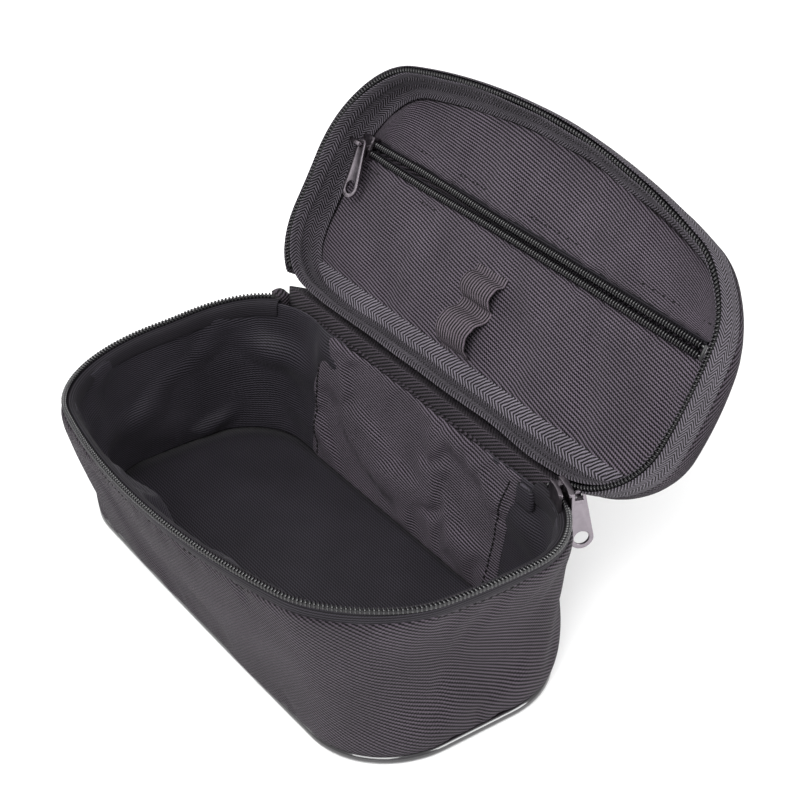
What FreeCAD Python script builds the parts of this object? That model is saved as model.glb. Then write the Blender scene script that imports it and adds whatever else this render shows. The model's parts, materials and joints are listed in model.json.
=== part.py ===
import FreeCAD, Part
import math
import os
import Sketcher
from FreeCAD import Placement, Rotation, Vector

# Soft zip-round pencil case, lid open. Millimetres. Origin: centre of the bottom, on the table.
# +X along the case, -Y the opening side, +Y the hinge side, +Z up.
# Lid pieces are drawn closed, rim to rim, and then turned open about the hinge line.

os.makedirs("parts", exist_ok=True)
doc = FreeCAD.newDocument("pencil_case")

DIMENSIONS = {
    # plan outline of the bottom: half length, hinge side, front side, corner radii, bow radius
    "bottom_half": 98.0, "bottom_back": 42.0, "bottom_front": 46.0,
    "bottom_backcorner": 27.0, "bottom_frontcorner": 32.0, "bottom_bow": 520.0,
    # plan outline of the zipped rim, which bows out at the front
    "rim_half": 102.5, "rim_back": 45.5, "rim_front": 62.0,
    "rim_backcorner": 28.0, "rim_frontcorner": 38.0, "rim_bow": 240.0,
    # plan outline of the lid's flat top
    "panel_half": 100.0, "panel_back": 44.0, "panel_front": 33.0,
    "panel_backcorner": 26.0, "panel_frontcorner": 28.0, "panel_bow": 900.0,
    # plan outline of the lid's lining
    "lining_half": 97.9, "lining_back": 41.7, "lining_front": 36.5,
    "lining_backcorner": 25.0, "lining_frontcorner": 30.0, "lining_bow": 560.0,
    "rim_height": 63.0, "lid_gap": 0.4, "lid_depth": 17.9, "lid_opening": 122.5,
    # layers, as depths in from the outer face
    "cloth": 1.0, "layer_gap": 0.1, "foam_in": 2.2, "lining_out": 2.3, "lining_in": 3.0,
    "tape_out": 1.1, "tape_in": 1.7, "coil_out": 0.2, "coil_in": 2.6,
    # heights in the base
    "wall_low": 3.3, "band_top": 58.4, "foam_top": 52.0, "lining_top": 52.0,
    "tape_low": 52.1, "coil_low": 60.3, "coil_high": 62.9, "back_top": 61.2,
    "piping_radius": 1.5, "piping_level": 1.6, "floor_inset": 3.2,
    "sheet": 1.0, "board_low": 1.1, "board_thick": 1.4, "floor_lining_low": 2.6, "floor_lining": 0.6,
    # hinge and the seams where the front band meets the back panel
    "hinge_half": 74.0, "hinge_radius": 1.4, "seam_gap": 0.2, "zip_half": 74.5,
    # heights in the closed lid
    "upper_coil_low": 63.5, "upper_coil_high": 66.1, "upper_tape_low": 66.2, "upper_tape_high": 80.0,
    "tray_low": 75.0, "lid_wall_low": 65.0, "lid_wall_high": 81.0,
    "lining_level": 77.4, "lining_thick": 0.6, "backing_level": 79.3, "backing_thick": 0.25,
    "pad_level": 79.65, "pad_thick": 1.5, "tray_thick": 1.0, "lid_inset": 2.4,
    "binding_out": 1.8, "binding_in": 2.4, "binding_low": 71.0, "binding_high": 77.2,
    "hinge_band_far": 11.0,
    # lid pocket, as distances from the hinge line
    "pocket_slot": 57.0, "pocket_gap": 0.6, "pocket_coil": 2.2, "pocket_tape": 8.0,
    "pocket_half": 94.4, "pocket_coil_low": 75.5, "pocket_coil_thick": 1.8, "pocket_tape_thick": 0.5,
    "stop_length": 1.8, "tape_end_in": 0.5,
    # pocket slider
    "slider_x": -89.8, "slider_length": 9.0, "slider_half": 4.2, "slider_wall": 1.1,
    "slider_top": 73.9, "slider_plate": 1.1, "slider_lower": 78.2, "slider_lower_thick": 0.8,
    "slider_lower_inset": 0.7, "lip_clear": 0.4,
    "post_half": 0.3, "post_length": 2.5,
    "crown_leg": 0.7, "crown_reach": 2.4, "crown_level": 70.0, "crown_bar": 0.8,
    # pull tabs
    "tab_neck": 2.2, "tab_end": 4.0, "tab_length": 16.0, "tab_thick": 1.0,
    "tab_eye": 1.15, "tab_hole": 2.5, "pocket_tab_level": 70.9, "pocket_tab_lean": 14.0,
    # main slider, on the back right corner of the rim
    "main_angle": 70.0, "main_sweep": 22.0, "main_post_sweep": 6.0,
    "main_low": 58.8, "main_high": 67.6, "main_flange": 1.2, "main_post_low": 63.2,
    "main_outer": 29.1, "main_inner": 24.1, "channel_outer": 28.1, "channel_inner": 25.0,
    "slot_outer": 27.25, "slot_inner": 25.4, "crown_radius": 31.7, "main_tab_lean": 3.0,
    "main_overrun": 2.0, "main_leg_sweep": 2.4, "main_bar_sweep": 12.0, "plate_overlap": 0.1,
    "main_crown_level": 62.6, "relief_radius": 11.0, "relief_start": 70.0, "relief_end": 95.0,
    # pen loops, as distances from the hinge line
    "strap_left": -11.5, "strap_width": 17.0, "strap_thick": 0.8,
    "loop_one": 35.2, "loop_one_radius": 4.4, "loop_two": 19.6, "loop_two_radius": 6.6,
    "strap_far": 43.0, "strap_near": 11.2,
    # folded zip ends
    "tail_length": 9.0, "tail_thick": 2.2, "tail_height": 9.0, "tail_level": 50.5,
    "tail_rounding": 0.9, "tail_clear": 1.2, "tail_angle": 115.0,
}

sheet = doc.addObject("Spreadsheet::Sheet", "dims")
for row, (alias, number) in enumerate(DIMENSIONS.items(), start=1):
    sheet.set(f"A{row}", alias)
    sheet.set(f"B{row}", str(number))
    sheet.setAlias(f"B{row}", alias)
doc.recompute()


class Size:
    """A length worked out from the sheet: its number now, and the expression that keeps it bound."""

    def __init__(self, number, text):
        self.number = number
        self.text = text

    def __add__(self, other):
        other = as_size(other)
        return Size(self.number + other.number, f"({self.text} + {other.text})")

    def __sub__(self, other):
        other = as_size(other)
        return Size(self.number - other.number, f"({self.text} - {other.text})")

    def __mul__(self, other):
        other = as_size(other)
        return Size(self.number * other.number, f"({self.text} * {other.text})")


def as_size(value):
    if isinstance(value, Size):
        return value
    return Size(float(value), f"({value})")


def dim(alias):
    return Size(float(getattr(sheet, alias)), f"dims.{alias}")


def bind(target, path, size):
    """Ties one property or named constraint to the sheet."""
    target.setExpression(path, as_size(size).text)


made = []


def new_body(label):
    body = doc.addObject("PartDesign::Body", label)
    body.Label = label
    made.append(body)
    return body


def add_sketch(body, name, role="XY_Plane", level=0.0):
    sketch = body.newObject("Sketcher::SketchObject", f"{body.Name}_{name}")
    plane = [item for item in body.Origin.OriginFeatures if item.Role == role][0]
    sketch.AttachmentSupport = [(plane, "")]
    sketch.MapMode = "FlatFace"
    level = as_size(level)
    sketch.AttachmentOffset = Placement(Vector(0, 0, level.number), Rotation())
    bind(sketch, "AttachmentOffset.Base.z", level)
    return sketch


def name_size(sketch, kind, references, size, name):
    """Adds one sized constraint and binds it to the sheet."""
    size = as_size(size)
    index = sketch.addConstraint(Sketcher.Constraint(kind, *references, size.number))
    sketch.renameConstraint(index, name)
    bind(sketch, f"Constraints.{name}", size)


def add_outline(sketch, family, inset):
    """The D-shaped plan: straight hinge side and ends, round corners and a bowed front."""
    half = dim(f"{family}_half") - inset
    back = dim(f"{family}_back") - inset
    front = dim(f"{family}_front") - inset
    near = dim(f"{family}_backcorner") - inset
    far = dim(f"{family}_frontcorner") - inset
    bow = dim(f"{family}_bow") - inset
    h, b, f, rb, rf, rw = (size.number for size in (half, back, front, near, far, bow))
    bow_y = rw - f
    corner_x = h - rf
    corner_y = bow_y - math.sqrt((rw - rf) ** 2 - corner_x ** 2)
    slope = math.atan2(corner_y - bow_y, corner_x)
    up = Vector(0, 0, 1)

    def arc(x, y, radius, start, end):
        return Part.ArcOfCircle(Part.Circle(Vector(x, y, 0), up, radius), start, end)

    shapes = [
        Part.LineSegment(Vector(h, corner_y, 0), Vector(h, b - rb, 0)),
        arc(h - rb, b - rb, rb, 0, math.pi / 2),
        Part.LineSegment(Vector(h - rb, b, 0), Vector(rb - h, b, 0)),
        arc(rb - h, b - rb, rb, math.pi / 2, math.pi),
        Part.LineSegment(Vector(-h, b - rb, 0), Vector(-h, corner_y, 0)),
        arc(-corner_x, corner_y, rf, math.pi, math.pi - slope),
        arc(0, bow_y, rw, math.pi - slope, 2 * math.pi + slope),
        arc(corner_x, corner_y, rf, 2 * math.pi + slope, 2 * math.pi),
    ]
    base = sketch.GeometryCount
    sketch.addGeometry(shapes, False)
    right, back_right, hinge, back_left, left, front_left, bowed, front_right = range(base, base + 8)
    count = len(shapes)
    for step in range(count):
        joint = (base + step, 2, base + (step + 1) % count, 1)
        sketch.addConstraint(Sketcher.Constraint("Tangent", *joint))
    sketch.addConstraint(Sketcher.Constraint("Vertical", right))
    sketch.addConstraint(Sketcher.Constraint("Vertical", left))
    sketch.addConstraint(Sketcher.Constraint("Horizontal", hinge))
    sketch.addConstraint(Sketcher.Constraint("PointOnObject", bowed, 3, -2))
    tag = f"n{base}"
    name_size(sketch, "Radius", (back_right,), near, f"{tag}_back_right")
    name_size(sketch, "Radius", (back_left,), near, f"{tag}_back_left")
    name_size(sketch, "Radius", (front_left,), far, f"{tag}_front_left")
    name_size(sketch, "Radius", (front_right,), far, f"{tag}_front_right")
    name_size(sketch, "Radius", (bowed,), bow, f"{tag}_bow")
    name_size(sketch, "DistanceX", (-1, 1, right, 1), half, f"{tag}_right")
    name_size(sketch, "DistanceX", (left, 1, -1, 1), half, f"{tag}_left")
    name_size(sketch, "DistanceY", (-1, 1, hinge, 1), back, f"{tag}_hinge")
    name_size(sketch, "DistanceY", (-1, 1, bowed, 3), bow - front, f"{tag}_front")


def add_rectangle(sketch, x_low, x_high, y_low, y_high):
    x_low, x_high, y_low, y_high = (as_size(size) for size in (x_low, x_high, y_low, y_high))
    corners = [
        Vector(x_low.number, y_low.number, 0), Vector(x_high.number, y_low.number, 0),
        Vector(x_high.number, y_high.number, 0), Vector(x_low.number, y_high.number, 0),
    ]
    base = sketch.GeometryCount
    for start, end in zip(corners, corners[1:] + corners[:1]):
        sketch.addGeometry(Part.LineSegment(start, end), False)
    for step in range(4):
        joint = (base + step, 2, base + (step + 1) % 4, 1)
        sketch.addConstraint(Sketcher.Constraint("Coincident", *joint))
    for step, kind in enumerate(("Horizontal", "Vertical", "Horizontal", "Vertical")):
        sketch.addConstraint(Sketcher.Constraint(kind, base + step))
    tag = f"r{base}"
    name_size(sketch, "DistanceX", (-1, 1, base, 1), x_low, f"{tag}_x_low")
    name_size(sketch, "DistanceX", (-1, 1, base + 1, 1), x_high, f"{tag}_x_high")
    name_size(sketch, "DistanceY", (-1, 1, base, 1), y_low, f"{tag}_y_low")
    name_size(sketch, "DistanceY", (-1, 1, base + 2, 1), y_high, f"{tag}_y_high")


def add_circle(sketch, x, y, radius):
    x, y, radius = as_size(x), as_size(y), as_size(radius)
    circle = Part.Circle(Vector(x.number, y.number, 0), Vector(0, 0, 1), radius.number)
    index = sketch.addGeometry(circle, False)
    name_size(sketch, "Radius", (index,), radius, f"c{index}_radius")
    name_size(sketch, "DistanceX", (-1, 1, index, 3), x, f"c{index}_x")
    name_size(sketch, "DistanceY", (-1, 1, index, 3), y, f"c{index}_y")


def pad(body, sketch, length, name="pad", both=False):
    feature = body.newObject("PartDesign::Pad", f"{body.Name}_{name}")
    feature.Profile = sketch
    bind(feature, "Length", length)
    feature.Midplane = both
    return feature


def pocket(body, sketch, length, name, away=False, both=False):
    """Cuts down from the sketch, up from it if away, or half of the length each way if both."""
    feature = body.newObject("PartDesign::Pocket", f"{body.Name}_{name}")
    feature.Profile = sketch
    bind(feature, "Length", length)
    feature.Reversed = away
    feature.Midplane = both
    return feature


def loft(body, kind, low_sketch, high_sketch, name):
    feature = body.newObject(f"PartDesign::{kind}", f"{body.Name}_{name}")
    feature.Profile = low_sketch
    feature.Sections = [high_sketch]
    feature.Ruled = True
    return feature


FAR = 150.0
HINGE_WINDOW = 20.0
OVERLAP = 0.05
BASE_WALLS = ("bottom", "rim", as_size(0.0), dim("rim_height"))
LID_LOW = dim("rim_height") + dim("lid_gap")
LID_HIGH = LID_LOW + dim("lid_depth")
LID_WALLS = ("rim", "panel", LID_LOW, LID_HIGH)
HINGE_Y = dim("rim_back")


def wall_shell(body, walls, outer, inner):
    """A wall between two depths in from the outer face, over the full height of the walls."""
    low_family, high_family, low, high = walls
    sketches = []
    for side, inset in (("outer", outer), ("inner", inner)):
        for end, family, level in (("low", low_family, low), ("high", high_family, high)):
            sketch = add_sketch(body, f"{side}_{end}", level=level)
            add_outline(sketch, family, as_size(inset))
            sketches.append(sketch)
    loft(body, "AdditiveLoft", sketches[0], sketches[1], "outer_face")
    loft(body, "SubtractiveLoft", sketches[2], sketches[3], "inner_face")


def trim_levels(body, low, high):
    """Keeps what lies between two levels."""
    for side, level, away in (("under", low, False), ("over", high, True)):
        sketch = add_sketch(body, side, level=level)
        add_rectangle(sketch, -FAR, FAR, -FAR, FAR)
        pocket(body, sketch, FAR, f"trim_{side}", away=away)


def cut_hinge_side(body, half_width):
    """Takes away the hinge side between the two seams."""
    sketch = add_sketch(body, "hinge_window")
    half_width = as_size(half_width)
    add_rectangle(sketch, half_width * -1.0, half_width, HINGE_WINDOW, FAR)
    pocket(body, sketch, 2 * FAR, "hinge_cut", both=True)


def keep_hinge_side(body, half_width):
    """Keeps only the hinge side between the two seams."""
    sketch = add_sketch(body, "hinge_keep")
    half_width = as_size(half_width)
    add_rectangle(sketch, -FAR, FAR, -FAR, FAR)
    add_rectangle(sketch, half_width * -1.0, half_width, HINGE_WINDOW, FAR - 1.0)
    pocket(body, sketch, 2 * FAR, "hinge_keep_cut", both=True)


def base_wall(label, outer, inner, low, high, hinge_side=None, half_width=None):
    body = new_body(label)
    wall_shell(body, BASE_WALLS, dim(outer) if outer else 0.0, dim(inner))
    trim_levels(body, dim(low), dim(high))
    if hinge_side == "cut":
        cut_hinge_side(body, half_width)
    if hinge_side == "keep":
        keep_hinge_side(body, half_width)


def plate(label, family, inset, level, thick):
    body = new_body(label)
    sketch = add_sketch(body, "plan", level=level)
    add_outline(sketch, family, inset)
    pad(body, sketch, thick)


SEAM = dim("hinge_half")
BAND_SEAM = SEAM + dim("seam_gap")

# Base: bottom
plate("bottom_panel", "bottom", dim("floor_inset"), 0.0, dim("sheet"))
plate("bottom_board", "bottom", dim("floor_inset"), dim("board_low"), dim("board_thick"))
plate("bottom_lining", "bottom", dim("floor_inset"), dim("floor_lining_low"), dim("floor_lining"))

# Base: piping, a round cord swept along the bottom outline
piping = new_body("bottom_piping")
path = add_sketch(piping, "path", level=dim("piping_level"))
add_outline(path, "bottom", dim("piping_radius"))
section = add_sketch(piping, "section", role="YZ_Plane")
add_circle(section, dim("bottom_back") - dim("piping_radius"), dim("piping_level"), dim("piping_radius"))
sweep = piping.newObject("PartDesign::AdditivePipe", "piping_sweep")
sweep.Profile = section
sweep.Spine = (path, ["Edge%d" % number for number in range(1, 9)])

# Base: walls
base_wall("base_front_band", None, "cloth", "wall_low", "band_top", "cut", BAND_SEAM)
base_wall("base_back_panel", None, "cloth", "wall_low", "back_top", "keep", SEAM)
base_wall("base_wall_foam", "tape_out", "foam_in", "wall_low", "foam_top")
base_wall("base_band_lining", "lining_out", "lining_in", "wall_low", "lining_top", "cut", BAND_SEAM)
base_wall("base_back_lining", "lining_out", "lining_in", "wall_low", "back_top", "keep", SEAM)
base_wall("lower_zip_tape", "tape_out", "tape_in", "tape_low", "coil_low", "cut", dim("zip_half"))
base_wall("lower_zip_coil", "coil_out", "coil_in", "coil_low", "coil_high", "cut", dim("zip_half"))

# Hinge: a soft round fold along the hinge line
fold = new_body("hinge_fold")
fold_sketch = add_sketch(fold, "section", role="YZ_Plane")
add_circle(fold_sketch, HINGE_Y, dim("rim_height"), dim("hinge_radius"))
pad(fold, fold_sketch, SEAM * 2.0, both=True)


def zip_end(label, x_low, y_low):
    """A folded, rounded end of zip tape, standing on edge."""
    body = new_body(label)
    sketch = add_sketch(body, "plan", level=dim("tail_level"))
    x_low, y_low = as_size(x_low), as_size(y_low)
    add_rectangle(sketch, x_low, x_low + dim("tail_length"), y_low, y_low + dim("tail_thick"))
    feature = pad(body, sketch, dim("tail_height"))
    doc.recompute()
    fillet = body.newObject("PartDesign::Fillet", f"{body.Name}_rounding")
    fillet.Base = (feature, ["Edge%d" % number for number in range(1, 13)])
    bind(fillet, "Radius", dim("tail_rounding"))
    return body


# Folded zip ends: one inside the right end of the hinge, one outside the left back corner
tail_thick = dim("tail_thick")
zip_end("zip_end_right", SEAM - dim("tail_length") - tail_thick,
        HINGE_Y - dim("lining_in") - dim("tail_clear") - tail_thick)
tail_left = zip_end("zip_end_left", dim("tail_length") * -0.5, 0.0)

lid_nodes = []


def lid_body(label):
    body = new_body(label)
    lid_nodes.append(body)
    return body


def lid_wall(label, outer, inner, low, high, hinge_side=None, half_width=None):
    body = lid_body(label)
    wall_shell(body, LID_WALLS, dim(outer) if outer else 0.0, dim(inner))
    trim_levels(body, dim(low), dim(high))
    if hinge_side == "cut":
        cut_hinge_side(body, half_width)
    if hinge_side == "keep":
        keep_hinge_side(body, half_width)
    return body


def slider_relief(body):
    """Room round the hinge line's right end, where the main slider is parked."""
    sketch = add_sketch(body, "relief", role="YZ_Plane", level=dim("relief_start"))
    add_circle(sketch, HINGE_Y, dim("rim_height"), dim("relief_radius"))
    pocket(body, sketch, dim("relief_end") - dim("relief_start"), "relief_cut", away=True)


def lid_strip(label, near, far, level, thick, half_width):
    """A flat straight strip of the lid between two distances from the hinge line."""
    body = lid_body(label)
    sketch = add_sketch(body, "plan", level=level)
    add_rectangle(sketch, half_width * -1.0, half_width, HINGE_Y - far, HINGE_Y - near)
    pad(body, sketch, thick)


def lid_lining(label, level, low, high):
    """A sheet with the lining's outline, less what lies between two places across the lid."""
    body = lid_body(label)
    sketch = add_sketch(body, "plan", level=level)
    add_outline(sketch, "lining", as_size(0.0))
    pad(body, sketch, dim("lining_thick"))
    window = add_sketch(body, "beyond")
    add_rectangle(window, -FAR, FAR, low, high)
    pocket(body, window, 2 * FAR, "beyond_cut", both=True)


# Lid: zip, side walls and top
coil_upper = lid_wall("upper_zip_coil", "coil_out", "coil_in", "upper_coil_low", "upper_coil_high",
                      "cut", dim("zip_half"))
slider_relief(coil_upper)
tape_upper = lid_wall("upper_zip_tape", "tape_out", "tape_in", "upper_tape_low", "upper_tape_high",
                      "cut", dim("zip_half"))
slider_relief(tape_upper)
lid_wall("lid_back_wall", None, "cloth", "lid_wall_low", "lid_wall_high", "keep", SEAM)
lid_wall("lid_seam_binding", "binding_out", "binding_in", "binding_low", "binding_high")

tray = lid_body("lid_top_panel")
wall_shell(tray, LID_WALLS, 0.0, dim("cloth"))
top_plan = add_sketch(tray, "top_plan", level=LID_HIGH)
add_outline(top_plan, "panel", as_size(0.0))
pad(tray, top_plan, dim("tray_thick"), "top")
skirt = add_sketch(tray, "skirt", level=dim("tray_low"))
add_rectangle(skirt, -FAR, FAR, -FAR, FAR)
pocket(tray, skirt, FAR, "skirt_cut")
back_window = add_sketch(tray, "back_window", level=LID_HIGH)
add_rectangle(back_window, BAND_SEAM * -1.0, BAND_SEAM, HINGE_WINDOW, FAR)
pocket(tray, back_window, FAR, "back_cut")

inset = dim("lid_inset")
for label, level, thick in (
    ("lid_foam_pad", "pad_level", "pad_thick"),
    ("pocket_backing", "backing_level", "backing_thick"),
):
    body = lid_body(label)
    sketch = add_sketch(body, "plan", level=dim(level))
    add_outline(sketch, "panel", inset)
    pad(body, sketch, dim(thick))

slot = dim("pocket_slot")
tape_reach = dim("pocket_gap") + dim("pocket_tape")
level = dim("lining_level")
strip = dim("pocket_half")
lid_lining("lid_lining_lower", level, -FAR, HINGE_Y - slot + tape_reach)
lid_lining("lid_lining_upper", level, HINGE_Y - slot - tape_reach, FAR)
lid_lining("hinge_binding", level - dim("layer_gap") - dim("lining_thick"), -FAR,
           HINGE_Y - dim("hinge_band_far"))
for side, sign in (("lower", -1.0), ("upper", 1.0)):
    edges = sorted(
        (slot + dim("pocket_gap") * sign, slot + (dim("pocket_gap") + dim("pocket_coil")) * sign),
        key=lambda size: size.number)
    lid_strip(f"pocket_coil_{side}", edges[0], edges[1], dim("pocket_coil_low"),
              dim("pocket_coil_thick"), strip)
    edges = sorted(
        (slot + dim("pocket_gap") * sign, slot + (tape_reach - dim("layer_gap")) * sign),
        key=lambda size: size.number)
    lid_strip(f"pocket_tape_{side}", edges[0], edges[1], level, dim("pocket_tape_thick"),
              strip - dim("tape_end_in"))

# Pocket zip stops: a crimp across both coils at each end
stops = lid_body("pocket_zip_stops")
stops.AllowCompound = True
stop_half = dim("pocket_gap") + dim("pocket_coil")
for name, low, high in (
    ("left", (strip + dim("layer_gap") + dim("stop_length")) * -1.0, (strip + dim("layer_gap")) * -1.0),
    ("right", strip + dim("layer_gap"), strip + dim("layer_gap") + dim("stop_length")),
):
    sketch = add_sketch(stops, name, level=dim("pocket_coil_low"))
    add_rectangle(sketch, low, high, HINGE_Y - slot - stop_half, HINGE_Y - slot + stop_half)
    pad(stops, sketch, dim("pocket_coil_thick"), f"pad_{name}")

# Pen loops: one elastic strap sewn down in three places, standing up in two arches
strap = lid_body("pen_loop_elastic")
LOOPS = (("one", dim("loop_one"), dim("loop_one_radius")), ("two", dim("loop_two"), dim("loop_two_radius")))
strap_t = dim("strap_thick")
ground = level - dim("layer_gap")
flat = add_sketch(strap, "flat", role="YZ_Plane", level=dim("strap_left"))
add_rectangle(flat, HINGE_Y - dim("strap_far"), HINGE_Y - dim("strap_near"), ground - strap_t, ground)
pad(strap, flat, dim("strap_width"), "flat_pad")
for name, centre, radius in LOOPS:
    arch = add_sketch(strap, f"arch_{name}", role="YZ_Plane", level=dim("strap_left"))
    add_circle(arch, HINGE_Y - centre, ground, radius + strap_t)
    pad(strap, arch, dim("strap_width"), f"arch_{name}_pad")
for name, centre, radius in LOOPS:
    bore = add_sketch(strap, f"bore_{name}", role="YZ_Plane", level=dim("strap_left"))
    add_circle(bore, HINGE_Y - centre, ground, radius)
    pocket(strap, bore, dim("strap_width"), f"bore_{name}_cut", away=True)
above = add_sketch(strap, "above", level=ground)
add_rectangle(above, -FAR, FAR, -FAR, FAR)
pocket(strap, above, FAR, "above_cut", away=True)

# Pocket slider: a plate with two side lips, a lower plate inside the pocket and a post between the coils
slider = lid_body("pocket_slider_body")
slider_x = dim("slider_x")
length = dim("slider_length")
half = dim("slider_half")
centre_y = HINGE_Y - slot


def slider_pad(name, x_low, x_high, y_half_low, y_half_high, z_low, z_high):
    """One rectangular piece of the pocket slider, on one or both sides of its middle line."""
    for side in (-1.0, 1.0):
        sketch = add_sketch(slider, f"{name}_{'a' if side < 0 else 'b'}", level=z_low)
        ends = sorted(
            (centre_y + as_size(y_half_low) * side, centre_y + as_size(y_half_high) * side),
            key=lambda size: size.number)
        add_rectangle(sketch, x_low, x_high, ends[0], ends[1])
        pad(slider, sketch, z_high - z_low, f"{name}_pad_{'a' if side < 0 else 'b'}")


start = slider_x - length * 0.5
end = slider_x + length * 0.5
plate_low = dim("slider_top")
plate_high = plate_low + dim("slider_plate")
lower_high = dim("slider_lower") + dim("slider_lower_thick")
slider_pad("plate", start, end, -OVERLAP, half, plate_low, plate_high)
slider_pad("lip", start, end, half - dim("slider_wall"), half, plate_high, level - dim("lip_clear"))
slider_pad("post", start, start + dim("post_length"), -OVERLAP, dim("post_half"), plate_high,
           dim("slider_lower"))
slider_pad("lower", start, end, -OVERLAP, half - dim("slider_lower_inset"), dim("slider_lower"),
           lower_high)
leg = dim("crown_leg")
for name, x in (("left", slider_x - dim("crown_reach")), ("right", slider_x + dim("crown_reach"))):
    sketch = add_sketch(slider, f"leg_{name}", level=dim("crown_level"))
    add_circle(sketch, x, centre_y, leg)
    pad(slider, sketch, plate_low - dim("crown_level"), f"leg_pad_{name}")
bar = add_sketch(slider, "bar", level=dim("crown_level") - dim("crown_bar"))
reach = dim("crown_reach") + leg
add_rectangle(bar, slider_x - reach, slider_x + reach, centre_y - leg, centre_y + leg)
pad(slider, bar, dim("crown_bar"), "bar_pad")


def add_tab(body, role, centred):
    """A flat pull tab: small eye, straight sides, round end with a large hole."""
    sketch = add_sketch(body, "tab", role=role)
    neck, end_radius, reach = dim("tab_neck"), dim("tab_end"), dim("tab_length")
    tilt = math.asin((end_radius.number - neck.number) / reach.number)
    length = reach.number
    up = Vector(0, 0, 1)
    low = Vector(0, -length, 0)
    side = Vector(math.cos(tilt), math.sin(tilt), 0)
    mirror = Vector(-math.cos(tilt), math.sin(tilt), 0)
    shapes = [
        Part.ArcOfCircle(Part.Circle(Vector(0, 0, 0), up, neck.number), tilt, math.pi - tilt),
        Part.LineSegment(mirror * neck.number, low + mirror * end_radius.number),
        Part.ArcOfCircle(Part.Circle(low, up, end_radius.number), math.pi - tilt, 2 * math.pi + tilt),
        Part.LineSegment(low + side * end_radius.number, side * neck.number),
    ]
    sketch.addGeometry(shapes, False)
    for step in range(4):
        sketch.addConstraint(Sketcher.Constraint("Tangent", step, 2, (step + 1) % 4, 1))
    sketch.addConstraint(Sketcher.Constraint("Coincident", 0, 3, -1, 1))
    sketch.addConstraint(Sketcher.Constraint("PointOnObject", 2, 3, -2))
    name_size(sketch, "Radius", (0,), neck, "neck_radius")
    name_size(sketch, "Radius", (2,), end_radius, "end_radius")
    name_size(sketch, "DistanceY", (2, 3, -1, 1), reach, "reach")
    add_circle(sketch, 0.0, 0.0, dim("tab_eye"))
    add_circle(sketch, 0.0, reach * -1.0, dim("tab_hole"))
    pad(body, sketch, dim("tab_thick"), both=centred)


# Pocket pull: lies level with the panel and turns on the crown's right leg.
# Drawn pointing along its own -Y; a half turn points it at the hinge.
pocket_pull = lid_body("pocket_pull")
add_tab(pocket_pull, "XY_Plane", False)

# Main slider: sectors round the back right corner, so that it follows the coil as it turns
corner_x = dim("rim_half") - dim("rim_backcorner")
corner_y = dim("rim_back") - dim("rim_backcorner")


def sector(name, inner, outer, low, high, first, sweep):
    """A curved bar round the corner's centre, between two radii, levels and angles."""
    solids = []
    for side, radius in (("outer", outer), ("inner", inner)):
        solid = doc.addObject("Part::Cylinder", f"{name}_{side}")
        bind(solid, "Radius", radius)
        bind(solid, "Height", high - low)
        solid.Angle = sweep.number if side == "outer" else 360.0
        if side == "outer":
            bind(solid, "Angle", sweep)
        solid.Placement = Placement(
            Vector(corner_x.number, corner_y.number, low.number), Rotation(Vector(0, 0, 1), first.number))
        bind(solid, "Placement.Base.z", low)
        solids.append(solid)
    cut = doc.addObject("Part::Cut", name)
    cut.Base, cut.Tool = solids
    return cut


middle = dim("main_angle")
sweep_angle = dim("main_sweep")
first = middle - sweep_angle * 0.5
overrun = dim("main_overrun")
plate_overlap = dim("plate_overlap")
block_sector = sector("main_block", dim("main_inner"), dim("main_outer"), dim("main_low"),
                      dim("main_high"), first, sweep_angle)
channel_low = dim("main_low") + dim("main_flange")
channel_high = dim("main_high") - dim("main_flange")
cuts = [
    sector("main_channel", dim("channel_inner"), dim("channel_outer"), channel_low,
           dim("main_post_low"), first - overrun, sweep_angle + overrun * 2.0),
    sector("main_upper_channel", dim("channel_inner"), dim("channel_outer"),
           dim("main_post_low") - plate_overlap, channel_high, first - overrun,
           sweep_angle - dim("main_post_sweep") + overrun),
    sector("main_slot_low", dim("slot_inner"), dim("slot_outer"), dim("main_low") - plate_overlap,
           channel_low + plate_overlap, first - overrun, sweep_angle + overrun * 2.0),
    sector("main_slot_high", dim("slot_inner"), dim("slot_outer"), channel_high - plate_overlap,
           dim("main_high") + plate_overlap, first - overrun, sweep_angle + overrun * 2.0),
]
hollow = block_sector
for number, tool in enumerate(cuts):
    step = doc.addObject("Part::Cut", f"main_hollow_{number}")
    step.Base = hollow
    step.Tool = tool
    hollow = step

crown_mid = dim("main_crown_level")
crown_half = dim("crown_leg")
leg_sweep = dim("main_leg_sweep")
bar_sweep = dim("main_bar_sweep")
bar_first = middle - bar_sweep * 0.5
crown_parts = [hollow]
for name, leg_first in (("a", bar_first), ("b", bar_first + bar_sweep - leg_sweep)):
    crown_parts.append(
        sector(f"main_leg_{name}", dim("main_outer") - plate_overlap, dim("crown_radius") + crown_half,
               crown_mid - crown_half, crown_mid + crown_half, leg_first, leg_sweep))
crown_parts.append(
    sector("main_bar", dim("crown_radius") - crown_half, dim("crown_radius") + crown_half,
           crown_mid - crown_half, crown_mid + crown_half, bar_first, bar_sweep))
main_slider = doc.addObject("Part::MultiFuse", "main_slider_body")
main_slider.Label = "main_slider_body"
main_slider.Shapes = crown_parts
made.append(main_slider)

# Main pull: hangs from the crown's bar, edge on to the wall, its foot leaning outwards
main_pull = new_body("main_pull")
add_tab(main_pull, "XZ_Plane", True)

# Places: the lid is turned open; each pull is moved to its own pivot
doc.recompute()
hinge_point = Vector(0, HINGE_Y.number, float(sheet.rim_height))
opening = Placement(Vector(0, 0, 0), Rotation(Vector(1, 0, 0), -float(sheet.lid_opening)), hinge_point)

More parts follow.
